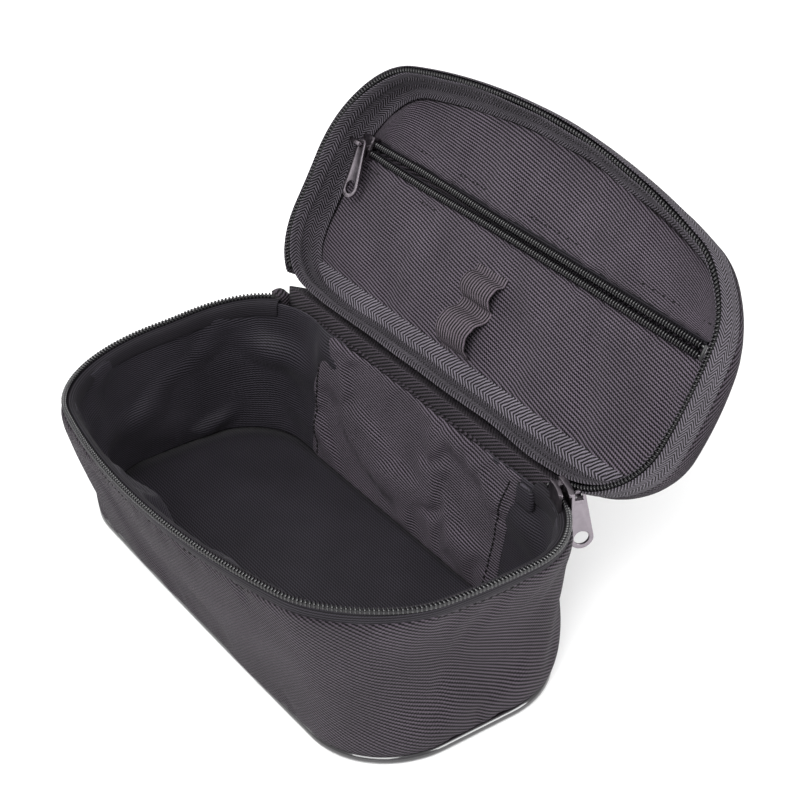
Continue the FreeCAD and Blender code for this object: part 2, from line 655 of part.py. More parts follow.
pivot = Vector(slider_x.number + float(sheet.crown_reach), centre_y.number, float(sheet.pocket_tab_level))
hang = Placement(pivot, Rotation(Vector(0, 0, 1), 180.0 - float(sheet.pocket_tab_lean)))
for body in lid_nodes:
    own = hang if body is pocket_pull else Placement()
    body.Placement = opening.multiply(own)

tail_turn = math.radians(float(sheet.tail_angle))
tail_radius = float(sheet.rim_backcorner)
tail_left.Placement = Placement(
    Vector(tail_radius * math.cos(tail_turn) - corner_x.number,
           tail_radius * math.sin(tail_turn) + corner_y.number, 0),
    Rotation(Vector(0, 0, 1), float(sheet.tail_angle) - 90.0))

turn = math.radians(middle.number)
bar_radius = float(sheet.crown_radius)
bar_point = Vector(
    corner_x.number + bar_radius * math.cos(turn), corner_y.number + bar_radius * math.sin(turn),
    crown_mid.number)
face_out = Rotation(Vector(0, 0, 1), middle.number)
lean_out = Rotation(Vector(0, 1, 0), -float(sheet.main_tab_lean))
main_pull.Placement = Placement(bar_point, face_out.multiply(lean_out))
doc.recompute()


def check_document():
    """Stops at any failed object, and at any sub-part that isn't one or more good solids."""
    failed = []
    for item in doc.Objects:
        if "Invalid" in item.State or "Error" in item.State:
            failed.append(item.Name)
    for item in made:
        shape = item.Shape
        if shape.isNull() or not shape.isValid() or not shape.Solids:
            failed.append(item.Label)
    if failed:
        raise RuntimeError("failed: " + ", ".join(failed))


check_document()
for item in made:
    box = item.Shape.BoundBox
    item.Shape.exportStep(f"parts/{item.Label}.step")
    print(f"{item.Label:22s} {len(item.Shape.Solids)} {item.Shape.Volume:10.1f} mm3"
          f"  x {box.XMin:7.1f} {box.XMax:7.1f}  y {box.YMin:7.1f} {box.YMax:7.1f}"
          f"  z {box.ZMin:7.1f} {box.ZMax:7.1f}")
print("pull pivot main", [round(value, 3) for value in bar_point])
print("pull pivot pocket", [round(value, 3) for value in opening.multVec(pivot)])
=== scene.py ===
# %% [markdown]
# # A soft pencil case, lid thrown back
# The case is a D-shaped box of ribbed polyester cloth. Its two rims carry a nylon zip,
# and the lid holds a zipped pocket and two pen loops. The moving frame is loaded first,
# because every piece is placed from it. Sizes are in millimetres; MM turns them to metres.

# %% Load the frame
import json
import math
import bmesh
import bpy
import numpy as np
from mathutils import Matrix, Vector, noise
from mathutils.bvhtree import BVHTree

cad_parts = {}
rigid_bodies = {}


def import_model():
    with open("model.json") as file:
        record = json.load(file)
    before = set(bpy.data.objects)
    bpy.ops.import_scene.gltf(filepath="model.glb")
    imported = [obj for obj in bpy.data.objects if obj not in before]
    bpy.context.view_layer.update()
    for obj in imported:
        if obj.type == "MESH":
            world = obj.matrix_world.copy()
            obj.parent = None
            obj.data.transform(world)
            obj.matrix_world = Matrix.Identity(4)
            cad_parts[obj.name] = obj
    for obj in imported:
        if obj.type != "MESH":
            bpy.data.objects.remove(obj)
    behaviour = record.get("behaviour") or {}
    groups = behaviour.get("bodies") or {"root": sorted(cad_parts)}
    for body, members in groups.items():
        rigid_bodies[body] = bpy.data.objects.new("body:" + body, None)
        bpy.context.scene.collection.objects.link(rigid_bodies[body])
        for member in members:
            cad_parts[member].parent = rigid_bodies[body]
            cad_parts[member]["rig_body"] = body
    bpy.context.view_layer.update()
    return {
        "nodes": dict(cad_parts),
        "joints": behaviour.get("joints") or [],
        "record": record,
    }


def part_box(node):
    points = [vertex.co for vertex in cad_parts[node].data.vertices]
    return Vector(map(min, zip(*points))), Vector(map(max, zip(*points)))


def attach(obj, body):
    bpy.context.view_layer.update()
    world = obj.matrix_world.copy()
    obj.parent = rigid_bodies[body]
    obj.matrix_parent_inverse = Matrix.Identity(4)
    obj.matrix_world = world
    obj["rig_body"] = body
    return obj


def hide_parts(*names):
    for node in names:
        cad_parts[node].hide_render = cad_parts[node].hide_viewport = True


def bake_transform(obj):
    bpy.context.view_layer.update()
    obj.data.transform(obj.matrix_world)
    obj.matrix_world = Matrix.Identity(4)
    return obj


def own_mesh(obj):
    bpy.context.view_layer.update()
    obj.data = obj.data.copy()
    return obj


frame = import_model()
MM = 0.001
joints = {joint["name"]: joint for joint in frame["joints"]}

# %% [markdown]
# ## Camera
# A camera looks along its own -Z. Its three axes are worked out from azimuth, elevation
# and a small roll, which is easier to reason about than Euler angles.

# %% Camera
AZIMUTH, ELEVATION, ROLL = (math.radians(angle) for angle in (57.32, 32.77, -2.74))
CAMERA_TARGET = Vector((-61.07, 77.43, 11.11)) * MM
CAMERA_DISTANCE = 760.7 * MM
back = Vector((math.sin(AZIMUTH) * math.cos(ELEVATION), -math.cos(AZIMUTH) * math.cos(ELEVATION),
               math.sin(ELEVATION)))
right = Vector((math.cos(AZIMUTH), math.sin(AZIMUTH), 0))
up = back.cross(right)
camera_right = right * math.cos(ROLL) + up * math.sin(ROLL)
camera_up = up * math.cos(ROLL) - right * math.sin(ROLL)
camera_data = bpy.data.cameras.new("camera")
camera_data.lens = 89.85
camera_data.sensor_width = 36.0
camera_data.clip_start = 0.01
camera = bpy.data.objects.new("camera", camera_data)
turn = Matrix((camera_right, camera_up, back)).transposed().to_4x4()
camera.matrix_world = Matrix.Translation(CAMERA_TARGET + back * CAMERA_DISTANCE) @ turn
bpy.context.collection.objects.link(camera)
bpy.context.scene.camera = camera
print("camera at", [round(value, 3) for value in camera.location])

# %% [markdown]
# ## Studio
# Large area lights give the soft, nearly shadowless light that dark cloth needs: a small
# light would leave the weave either black or glaring. The floor is plain and pale.

# %% Lights and floor
def area_light(name, place, aim, size, power):
    data = bpy.data.lights.new(name, "AREA")
    data.size = size
    data.energy = power
    lamp = bpy.data.objects.new(name, data)
    direction = Vector(aim) - Vector(place)
    lamp.matrix_world = Matrix.Translation(place) @ direction.to_track_quat("-Z", "Y").to_matrix().to_4x4()
    bpy.context.collection.objects.link(lamp)


AIM = (0, 0.02, 0.05)
area_light("key_light", (0.55, -0.75, 0.95), AIM, 0.9, 21)
area_light("fill_light", (-0.8, -0.5, 0.7), AIM, 0.9, 3.5)
area_light("rim_light", (0.9, 0.5, 0.55), AIM, 0.6, 10)
world = bpy.data.worlds.new("studio")
bpy.context.scene.world = world
world.use_nodes = True
world.node_tree.nodes["Background"].inputs["Color"].default_value = (1, 1, 1, 1)
world.node_tree.nodes["Background"].inputs["Strength"].default_value = 0.8
bpy.context.scene.view_settings.view_transform = "Standard"

bm = bmesh.new()
bmesh.ops.create_grid(bm, x_segments=1, y_segments=1, size=4.0)
floor_mesh = bpy.data.meshes.new("floor")
bm.to_mesh(floor_mesh)
bm.free()
floor = bpy.data.objects.new("floor", floor_mesh)
bpy.context.collection.objects.link(floor)
print("lights and floor ready")

# %% [markdown]
# ## Adding shader nodes
# A material is a small graph. One helper adds a node, sets its fields and either links an
# input or gives it a plain value, so that each finish below reads like a recipe.

# %% Node helper and colours
def add(tree, kind, inputs=None, **settings):
    made = tree.nodes.new(kind)
    for name, value in settings.items():
        setattr(made, name, value)
    for key, value in (inputs or {}).items():
        if isinstance(value, bpy.types.NodeSocket):
            tree.links.new(value, made.inputs[key])
        else:
            made.inputs[key].default_value = value
    return made


def colour(hex_code):
    """An sRGB hex colour as the linear RGBA that Blender's sockets hold."""
    parts = [int(hex_code[step:step + 2], 16) / 255 for step in (1, 3, 5)]
    linear = [part / 12.92 if part <= 0.04045 else ((part + 0.055) / 1.055) ** 2.4 for part in parts]
    return (*linear, 1.0)


def new_material(name, **sockets):
    """A Principled material with plain values set on its own sockets."""
    material = bpy.data.materials.new(name)
    material.use_nodes = True
    shader = material.node_tree.nodes["Principled BSDF"]
    for key, value in sockets.items():
        shader.inputs[key.replace("_", " ")].default_value = value
    return material, material.node_tree, shader


print("node helper ready")

# %% [markdown]
# ## Woven cloth
# Polyester cloth is thousands of yarns. Here one sine wave across the ribs and one along
# them make the raised yarns; slower noise makes some yarns a little paler, as worn dyed
# yarn is. The piece's own UV map, in millimetres, carries the pattern round every curve.

# %% Cloth finish
WEAVE = "weave"
BUMP_DEPTH = 0.0003


def cloth_finish(name, thread, gap, rib, cross, slant=0.0, zigzag=0.0, relief=0.25,
                 roughness=0.75, sheen=0.03, contrast=1.0, gloss=0.15):
    """rib and cross are yarn spacings in mm; slant leans the ribs; zigzag is a herringbone row's width."""
    material, tree, shader = new_material(name, Roughness=roughness, Sheen_Weight=sheen, Sheen_Roughness=0.4,
                                          Specular_IOR_Level=gloss)
    place = add(tree, "ShaderNodeUVMap", uv_map=WEAVE)
    axes = add(tree, "ShaderNodeSeparateXYZ", {"Vector": place.outputs["UV"]})
    along, over = axes.outputs["X"], axes.outputs["Y"]
    if zigzag:
        bent = add(tree, "ShaderNodeMath", {0: over, 1: zigzag}, operation="PINGPONG")
        phase = add(tree, "ShaderNodeMath", {0: along, 1: bent.outputs[0]}, operation="ADD")
    else:
        phase = add(tree, "ShaderNodeMath", {0: along, 1: slant, 2: over}, operation="MULTIPLY_ADD")
    ribs = add(tree, "ShaderNodeMath", {0: phase.outputs[0], 1: math.tau / rib}, operation="MULTIPLY")
    rib_wave = add(tree, "ShaderNodeMath", {0: ribs.outputs[0]}, operation="SINE")
    steps = add(tree, "ShaderNodeMath", {0: along, 1: math.tau / cross, 2: ribs.outputs[0]},
                operation="MULTIPLY_ADD")
    cross_wave = add(tree, "ShaderNodeMath", {0: steps.outputs[0]}, operation="SINE")
    height = add(tree, "ShaderNodeMath", {0: cross_wave.outputs[0], 1: 0.45, 2: rib_wave.outputs[0]},
                 operation="MULTIPLY_ADD")
    fuzz = add(tree, "ShaderNodeTexNoise", {"Vector": place.outputs["UV"], "Scale": 2.2, "Detail": 3.0})
    patches = add(tree, "ShaderNodeTexNoise", {"Vector": place.outputs["UV"], "Scale": 0.045, "Detail": 2.0})
    speckled = add(tree, "ShaderNodeMath", {0: fuzz.outputs["Fac"], 1: 1.6, 2: height.outputs[0]},
                   operation="MULTIPLY_ADD")
    share = add(tree, "ShaderNodeMapRange",
                {"Value": speckled.outputs[0], "From Min": 0.0, "From Max": 1.8,
                 "To Min": 0.0, "To Max": contrast},
                interpolation_type="SMOOTHSTEP")
    woven = add(tree, "ShaderNodeMix", {0: share.outputs[0], 6: colour(gap), 7: colour(thread)},
                data_type="RGBA")
    shade = add(tree, "ShaderNodeMapRange",
                {"Value": patches.outputs["Fac"], "From Min": 0.3, "From Max": 0.7,
                 "To Min": 0.82, "To Max": 1.12})
    mottled = add(tree, "ShaderNodeVectorMath", {0: woven.outputs[2], 3: shade.outputs[0]}, operation="SCALE")
    tree.links.new(mottled.outputs[0], shader.inputs["Base Color"])
    bump = add(tree, "ShaderNodeBump",
               {"Height": speckled.outputs[0], "Strength": relief, "Distance": BUMP_DEPTH})
    tree.links.new(bump.outputs[0], shader.inputs["Normal"])
    return material


# The outer cloth is a steep twill about 1.3 mm from rib to rib; the lining's ribs lie nearly level.
# The yarns inside a rib are too fine to show, so the noise stands for them. Herringbone tape turns
# its ribs to and fro, so its rows catch the light by turns; elastic shows deep cross ribs; the
# inner lining has little relief and looks like dark, slightly shiny cloth.
OUTER_CLOTH = cloth_finish("twill polyester cloth", "#453e46", "#030204", 1.35, 0.9, slant=-0.55, relief=0.8)
LINING_CLOTH = cloth_finish("twill lining", "#625964", "#040305", 1.15, 1.2, slant=0.18, relief=0.8)
INNER_CLOTH = cloth_finish("smooth inner lining", "#38353c", "#0c0b0e", 1.0, 1.4, relief=0.25, roughness=0.55)
HERRINGBONE_TAPE = cloth_finish("herringbone tape", "#5f5a62", "#040304", 1.3, 4.0, zigzag=2.7, relief=0.7)
HINGE_BAND = cloth_finish("wide herringbone band", "#79737d", "#040304", 1.7, 4.0, zigzag=4.2, relief=0.8)
ZIP_TAPE = cloth_finish("plain zip tape", "#2b282e", "#09080a", 0.8, 0.8, relief=0.2)
ELASTIC = cloth_finish("ribbed elastic", "#6b616a", "#030203", 1.35, 5.0, relief=0.9)
THREAD = cloth_finish("sewing thread", "#161417", "#080708", 0.3, 0.5, roughness=0.6, relief=0.1)
print("cloth finishes ready")

# %% [markdown]
# ## Nylon, covered cord and cast metal
# A zip's coil is extruded nylon, smooth and slightly glossy, so its teeth catch small
# highlights. The cord round the bottom is covered in soft PVC. The sliders are die-cast
# zinc with a dark plating: metallic, with faint casting marks and brighter worn spots.

# %% Smooth finishes
def smooth_finish(name, base, spots, spot_scale, roughness, roughness_spread, relief=0.05, **sockets):
    """A smooth finish with soft spots of a second tone; spot_scale is in spots per metre."""
    material, tree, shader = new_material(name, **sockets)
    place = add(tree, "ShaderNodeTexCoord")
    cloudy = add(tree, "ShaderNodeTexNoise",
                 {"Vector": place.outputs["Object"], "Scale": spot_scale, "Detail": 4.0})
    tone = add(tree, "ShaderNodeMix", {0: cloudy.outputs["Fac"], 6: colour(base), 7: colour(spots)},
               data_type="RGBA")
    tree.links.new(tone.outputs[2], shader.inputs["Base Color"])
    dull = add(tree, "ShaderNodeMapRange", {"Value": cloudy.outputs["Fac"], "From Min": 0.3, "From Max": 0.7,
                                           "To Min": roughness, "To Max": roughness + roughness_spread})
    tree.links.new(dull.outputs[0], shader.inputs["Roughness"])
    bump = add(tree, "ShaderNodeBump",
               {"Height": cloudy.outputs["Fac"], "Strength": relief, "Distance": BUMP_DEPTH})
    tree.links.new(bump.outputs[0], shader.inputs["Normal"])
    return material


NYLON_COIL = smooth_finish("extruded nylon coil", "#070608", "#121114", 900, 0.12, 0.08, IOR=1.58)
COIL_CORE = smooth_finish("coil cord", "#060607", "#0c0c0d", 900, 0.6, 0.2, IOR=1.5)
PIPING_COVER = smooth_finish("soft pvc piping", "#0f0e10", "#1b191c", 300, 0.12, 0.1, IOR=1.5,
                             Coat_Weight=0.8)
DARK_METAL = smooth_finish("dark plated zinc", "#716b71", "#8a8389", 450, 0.26, 0.15, Metallic=1.0)
FLOOR_PAINT = smooth_finish("pale studio floor", "#f4f4f4", "#fbfbfb", 3, 0.6, 0.1, relief=0.0)
floor_mesh.materials.append(FLOOR_PAINT)
print("smooth finishes ready")

# %% [markdown]
# ## The plans
# Every wall follows a plan: a rounded rectangle whose sides bow in or out as sewn cloth
# does. One function walks round it at fixed stations, so station 100 of the bottom lies
# under station 100 of the rim, and a wall is simply the way from one to the other.

# %% Plans of the rims and the bottom
HINGE_STEPS, CORNER_STEPS, END_STEPS, FRONT_STEPS = 20, 22, 14, 60


def plan(width, depth, corners, bows, centre=(0.0, 0.0)):
    """(x, y) stations in mm, from the hinge's middle round the right end, the front and the left end."""
    back_right, back_left, front_left, front_right = corners
    half, deep = width / 2, depth / 2
    points = []

    def run(start, end, steps):
        points.extend(np.linspace(start, end, steps, endpoint=False))

    def corner(x, y, radius, start):
        for angle in np.radians(np.linspace(start, start - 90, CORNER_STEPS, endpoint=False)):
            points.append((x + radius * math.cos(angle), y + radius * math.sin(angle)))

    run((0, deep), (half - back_right, deep), HINGE_STEPS)
    corner(half - back_right, deep - back_right, back_right, 90)
    run((half, deep - back_right), (half, front_right - deep), END_STEPS)
    corner(half - front_right, front_right - deep, front_right, 0)
    run((half - front_right, -deep), (front_left - half, -deep), FRONT_STEPS)
    corner(front_left - half, front_left - deep, front_left, -90)
    run((-half, front_left - deep), (-half, deep - back_left), END_STEPS)
    corner(back_left - half, deep - back_left, back_left, 180)
    run((back_left - half, deep), (0, deep), HINGE_STEPS)
    loop = np.array(points + points[:1])
    u, v = loop[:, 0] / half, loop[:, 1] / deep
    back_bow, left_bow, front_bow, right_bow = bows
    loop[:, 1] += np.where(v < 0, -front_bow, back_bow) * np.abs(v) * (1 - u ** 2)
    loop[:, 0] += np.where(u < 0, -left_bow, right_bow) * np.abs(u) * (1 - v ** 2)
    return loop + np.array(centre)


def outward(loop):
    """The unit normals of a closed plan, pointing out of it."""
    ring = loop[:-1]
    run = np.roll(ring, -1, 0) - np.roll(ring, 1, 0)
    run /= np.linalg.norm(run, axis=1, keepdims=True)
    normals = np.stack([-run[:, 1], run[:, 0]], 1)
    return np.vstack([normals, normals[:1]])


hinge = Vector(joints["lid_hinge"]["pos_m"]) / MM
HALF_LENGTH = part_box("base_front_band")[1][0] / MM
LENGTH = 2 * HALF_LENGTH
HINGE_Y, RIM_Z = hinge.y, hinge.z
RIM = plan(LENGTH, 2 * HINGE_Y, (28.5, 40, 41, 28.5), (0, -9.5, 18.8, 5.0))
BOTTOM = plan(LENGTH - 8, 85.0, (29.5, 29.5, 29.5, 29.5), (0, 0, 1.0, 0), (-1.0, -1.1))
LID_WIDTH = 81.2
LID_RIM = plan(LENGTH, LID_WIDTH, (27, 27, 35, 19), (0, -4.5, 18.7, 5.0), (0, HINGE_Y - LID_WIDTH / 2))
LID_TOP = plan(LENGTH - 1, LID_WIDTH - 8, (26, 26, 27, 22), (0, -2.2, 14.0, 6.5),
               (1.2, HINGE_Y - LID_WIDTH / 2 + 2.6))
STATIONS = len(RIM)
ZIP_START = HINGE_STEPS
ZIP_END = STATIONS - HINGE_STEPS - 9
print("stations:", STATIONS, "rim is", round(np.ptp(RIM[:, 0])), "by", round(np.ptp(RIM[:, 1])), "mm")

# %% [markdown]
# ## Laying cloth on a surface
# A sewn panel is easiest to make as a flat grid whose vertices are then laid where the
# cloth goes. The grid keeps its rows and columns, so the UV map can measure the distance
# along each in millimetres and the weave neither stretches nor slides.

# %% Cloth grid and pieces
def lay_cloth(points, join_columns=False, join_rows=False):
    """A grid laid on points[column, row], in mm, with a UV map of the distance along each way."""
    points = np.asarray(points, float)
    columns, rows = points.shape[0] - 1, points.shape[1] - 1
    middle_row, middle_column = rows // 2, columns // 2
    across = np.linalg.norm(np.diff(points[:, middle_row], axis=0), axis=1)
    upward = np.linalg.norm(np.diff(points[middle_column], axis=0), axis=1)
    u, v = np.concatenate([[0], np.cumsum(across)]), np.concatenate([[0], np.cumsum(upward)])
    bm = bmesh.new()
    bmesh.ops.create_grid(bm, x_segments=columns, y_segments=rows, size=1.0)
    layer = bm.loops.layers.uv.new(WEAVE)
    places = {}
    for vertex in bm.verts:
        places[vertex] = (round((vertex.co.x + 1) / 2 * columns), round((vertex.co.y + 1) / 2 * rows))
    for face in bm.faces:
        for loop in face.loops:
            column, row = places[loop.vert]
            loop[layer].uv = (u[column], v[row])
    for vertex, (column, row) in places.items():
        vertex.co = Vector(points[column, row]) * MM
    if join_columns or join_rows:
        bmesh.ops.remove_doubles(bm, verts=bm.verts, dist=1e-6)
    return bm


def merge(target, part):
    """Adds one bmesh's contents to another."""
    mesh = bpy.data.meshes.new("part")
    part.to_mesh(mesh)
    part.free()
    target.from_mesh(mesh)
    bpy.data.meshes.remove(mesh)


def piece(name, bm, material, body, slot, replaces=(), inside_out=False):
    """Makes the object, smooth shaded, ties it to its body and hides the frame parts it stands for; slot is
    not used.
    """
    bmesh.ops.recalc_face_normals(bm, faces=bm.faces)
    if inside_out:
        bmesh.ops.reverse_faces(bm, faces=bm.faces)
    mesh = bpy.data.meshes.new(name)
    bm.to_mesh(mesh)
    bm.free()
    mesh.materials.append(material)
    mesh.polygons.foreach_set("use_smooth", [True] * len(mesh.polygons))
    made = bpy.data.objects.new(name, mesh)
    bpy.context.collection.objects.link(made)
    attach(made, body)
    if replaces:
        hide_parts(*replaces)
    return made


def thicken(made, thickness, offset=-1.0):
    solid = made.modifiers.new("cloth thickness", "SOLIDIFY")
    solid.thickness = thickness * MM
    solid.offset = offset


def soften(made, levels=1):
    smooth = made.modifiers.new("soft cloth", "SUBSURF")
    smooth.levels = levels
    smooth.render_levels = levels


def wave(x, y, size, seed, z=0.0):
    """Smooth noise from -1 to 1 whose bumps are about size mm across."""
    return noise.noise(Vector((x / size, y / size, z / size + seed)))


print("helpers ready")

# %% [markdown]
# ## Base walls
# The outer wall is one cloth shell over thin foam. It leans out towards the rim, it is drawn
# in a little low at the left and more at the right end, and it ripples where nothing
# stretches it. Its front rim also dips to the left, which the tilt gives. The shell, 1.4 mm
# thick, stands for the cloth and the foam behind it, and the lining hangs 3.4 mm inside it.

# %% Base wall shapes
RIM_TILT = 3.6


def rim_lift(x, y):
    """How much the slack front of the rim rises to the right and dips to the left."""
    return RIM_TILT * x / HALF_LENGTH * (1 - y / HINGE_Y) / 2


def hump(value, centre, width):
    """A smooth bump of height 1 at the centre, fading to nothing a few widths away."""
    return math.exp(-((value - centre) / width) ** 2)


LEFT_TUCK, RIGHT_TUCK = 1.4, 6.2


def wall_drift(station, height):
    """How far the wall stands out of its straight lean: it is drawn in at the left and the right end."""
    normal = WALL_NORMALS[station]
    leftward = max(0.0, -normal[1]) * max(0.0, 0.75 - normal[0])
    drift = -LEFT_TUCK * leftward * hump(height, 22.0, 18.0)
    right_end = hump(normal[0], 1.0, 0.22)
    drift -= RIGHT_TUCK * right_end * hump(height, 33.0, 20.0)
    return drift


WALL_NORMALS = outward(RIM)


def wall_points(levels, first=0, last=STATIONS - 1, ripple=0.0, size=38.0, seed=0.0, inward_only=False):
    """Points of a base wall. levels is a list of (height, inset)."""
    points = []
    for station in range(first, last + 1):
        column = []
        for height, inset in levels:
            share = min(max(height / RIM_Z, 0.0), 1.0)
            spot = BOTTOM[station] * (1 - share) + RIM[station] * share
            fade = min(1.0, height / 10, (RIM_Z - height) / 12)
            swell = ripple * max(fade, 0.0) * wave(*spot, size, seed, height * 1.3)
            swell = min(swell, 0.0) if inward_only else max(swell, -0.5)
            swell += wall_drift(station, height)
            spot = spot + WALL_NORMALS[station] * (swell - inset)
            lift = rim_lift(*RIM[station]) * share ** 1.5
            column.append((spot[0], spot[1], height + lift))
        points.append(column)
    return points


BAND_LOW, BAND_HIGH = 2.6, 57.8
outer_levels = [(BAND_LOW, 1.6), (BAND_LOW + 1.2, 0.4)]
outer_levels += [(height, 0.0) for height in np.linspace(BAND_LOW + 3, BAND_HIGH - 1.2, 20)]
outer_levels += [(BAND_HIGH, 0.25)]
bm = lay_cloth(wall_points(outer_levels, ripple=2.2), join_columns=True)
base_wall = piece("base_outer_wall", bm, OUTER_CLOTH, "base", "outer_cloth",
                  ["base_front_band", "base_back_panel", "base_wall_foam"])
print("outer wall:", len(base_wall.data.polygons), "faces")

# %% [markdown]
# ## Letting cloth settle
# Cut cloth is a little larger than the space it is sewn into, so it buckles into soft folds.
# Blender's cloth solver makes those folds better than any drawn wave. It works best on
# things a few metres across, so the piece is made larger for the run and brought back. The
# seams are held, gravity is off because the cloth is sewn all round, and the movement is
# limited so that the panel stays near the layer it covers.

# %% Settling cloth
SIM_SCALE = 20.0
SIDEWAYS_LIMIT = 1.0


def settle(made, slack, rise, sink, pressure=0.0, frames=20, sewn=None):
    """Cloth simulation: sewn points stay, the rest buckles by its slack, from sink to rise mm."""
    mesh = made.data
    start = np.empty(len(mesh.vertices) * 3)
    normals = np.empty(len(mesh.vertices) * 3)
    mesh.vertices.foreach_get("co", start)
    mesh.vertices.foreach_get("normal", normals)
    if sewn is None:
        bm = bmesh.new()
        bm.from_mesh(mesh)
        sewn = [vertex.index for vertex in bm.verts if vertex.is_boundary]
        bm.free()
    mesh.vertices.foreach_set("co", start * SIM_SCALE)
    made.vertex_groups.new(name="sewn").add(sewn, 1.0, "REPLACE")
    cloth = made.modifiers.new("settling", "CLOTH")
    settings = cloth.settings
    settings.quality = 5
    settings.mass = 0.2
    settings.vertex_group_mass = "sewn"
    settings.shrink_min = -slack
    settings.bending_stiffness = 0.3
    settings.use_pressure = pressure > 0
    settings.uniform_pressure_force = pressure
    settings.effector_weights.gravity = 0.0
    cloth.point_cache.frame_start, cloth.point_cache.frame_end = 1, frames
    for step in range(1, frames + 1):
        bpy.context.scene.frame_set(step)
    settled = np.empty(len(mesh.vertices) * 3)
    made.evaluated_get(bpy.context.evaluated_depsgraph_get()).data.vertices.foreach_get("co", settled)
    made.modifiers.remove(cloth)
    made.vertex_groups.clear()
    bpy.context.scene.frame_set(1)
    start, normals = start.reshape(-1, 3), normals.reshape(-1, 3)
    moved = settled.reshape(-1, 3) / SIM_SCALE - start
    along = (moved * normals).sum(1)
    limited = np.clip(along, -sink * MM, rise * MM)
    sideways = moved - along[:, None] * normals
    reach = np.linalg.norm(sideways, axis=1, keepdims=True)
    sideways *= np.minimum(1.0, SIDEWAYS_LIMIT * MM / np.maximum(reach, 1e-9))
    mesh.vertices.foreach_set("co", (start + limited[:, None] * normals + sideways).ravel())
    mesh.update()
    print(made.name, "settled, moving up to", round(float(np.abs(limited).max()) / MM, 2), "mm")


def declare_lining(made):
    """Prints a panel's size along the cloth. The width is the UV map's, and the length too unless the settled
    cloth needs more; the area is the settled cloth's own, so this is a description and not a test."""
    spots = np.empty(len(made.data.loops) * 2)
    made.data.uv_layers[WEAVE].uv.foreach_get("vector", spots)
    width, length = (float(value) for value in np.ptp(spots.reshape(-1, 2), axis=0) * MM)
    cloth_area = sum(face.area for face in made.data.polygons)
    length = max(length, cloth_area / width)
    print(made.name, "measures", round(width / MM), "by", round(length / MM), "mm along the cloth")


print("cloth settles at", SIM_SCALE, "times its size")

# %% [markdown]
# ## Lining band of the base
# A smooth lining goes round the ends and the front. It is slack, so its ripples are drawn
# inwards only, where there is room for them, and the settling then adds to them.

# %% Lining band
LINING_GAP, LINING_GAP_TOP = 3.4, 3.2
first_station, last_station = HINGE_STEPS - 8, STATIONS - 1 - (HINGE_STEPS - 8)
lining_levels = [(height, LINING_GAP) for height in np.linspace(3.4, 59.0, 22)] + [(60.0, LINING_GAP_TOP)]
bm = lay_cloth(wall_points(lining_levels, first_station, last_station, ripple=5.0, size=20.0, seed=7.0,
                           inward_only=True))
base_lining = piece("base_band_lining_cloth", bm, INNER_CLOTH, "base", "lining_cloth", ["base_band_lining"],
                    inside_out=True)
print("lining band:", len(base_lining.data.polygons), "faces")

# %% [markdown]
# ## Back panel of the lining
# The back panel is the lid's ribbed lining cloth, sewn to the band by two seams that start
# upright at the bottom and lean to the right near the rim. It stands in front of the back
# wall.

# %% Back panel
BACK_SEAM_LEFT, BACK_SEAM_RIGHT = (-62.0, -53.0), (52.0, 65.0)
BACK_FOOT_Y, BACK_GAP, PANEL_BULGE = 41.4, 3.7, 1.6


def back_seam(low_x, high_x, share):
    """A seam of the back panel: it starts upright at the bottom and leans over near the rim."""
    return low_x + (high_x - low_x) * share ** 1.6


points = []
for column in np.linspace(0, 1, 60):
    line = []
    for height in np.linspace(3.6, 60.0, 24):
        share = height / RIM_Z
        left = back_seam(*BACK_SEAM_LEFT, share)
        right_end = back_seam(*BACK_SEAM_RIGHT, share)
        x = left + (right_end - left) * column
        edge = min(1.0, column * 8, (1 - column) * 8, height / 12, (62 - height) / 8)
        y = BACK_FOOT_Y * (1 - share) + HINGE_Y * share - BACK_GAP - 0.5 * min(1.0, edge * 3)
        y -= PANEL_BULGE * max(0.0, wave(x, height * 1.5, 22.0, 15.0)) * max(edge, 0.0)
        line.append((x, y, height))
    points.append(line)
back_lining = piece("base_back_lining_cloth", lay_cloth(points), LINING_CLOTH, "base", "lining_cloth",
                    ["base_back_lining"], inside_out=True)
print("back panel:", len(back_lining.data.polygons), "faces")

# %% [markdown]
# ## Settling the base
# The wall and its two lining panels settle one after the other. Solidify and Subdivision
# come last, so that the solver runs on the thin cloth alone.

# %% Settle the base
settle(base_wall, slack=0.03, rise=0.9, sink=0.3)
thicken(base_wall, 1.4)
soften(base_wall)
settle(base_lining, slack=0.12, rise=4.0, sink=0.0)
settle(back_lining, slack=0.06, rise=2.2, sink=0.0)
for made in (base_lining, back_lining):
    declare_lining(made)
    thicken(made, 0.5)
    soften(made)
print("linings laid in the base")

# %% [markdown]
# ## Floor and underside
# Both are flat cloth in the shape of the bottom plan, laid as rings that shrink to the
# middle. The lining over the board is a little crowned; the cloth below is level with the
# table.

# %% Floor
def floor_points(inset, height, crown=0.0, rings=14):
    """A floor filling the bottom plan, as rings that shrink to its middle."""
    edge = BOTTOM - outward(BOTTOM) * inset
    middle = np.array([0.0, -2.0])
    points = []
    for station in range(STATIONS):
        column = []
        for share in np.linspace(0, 1, rings + 1):
            spot = edge[station] * (1 - share) + middle * share
            rise = crown * (1 - (1 - share) ** 2) + 0.5 * share * (1 - share) * 4 * wave(*spot, 30.0, 3.0)
            column.append((spot[0], spot[1], height + rise))
        points.append(column)
    return points


def use_plan_uv(bm):
    """Lays the weave straight across a flat piece: UV is simply x and y in mm."""
    layer = bm.loops.layers.uv[WEAVE]
    for face in bm.faces:
        for loop in face.loops:
            loop[layer].uv = (loop.vert.co.x / MM, loop.vert.co.y / MM)


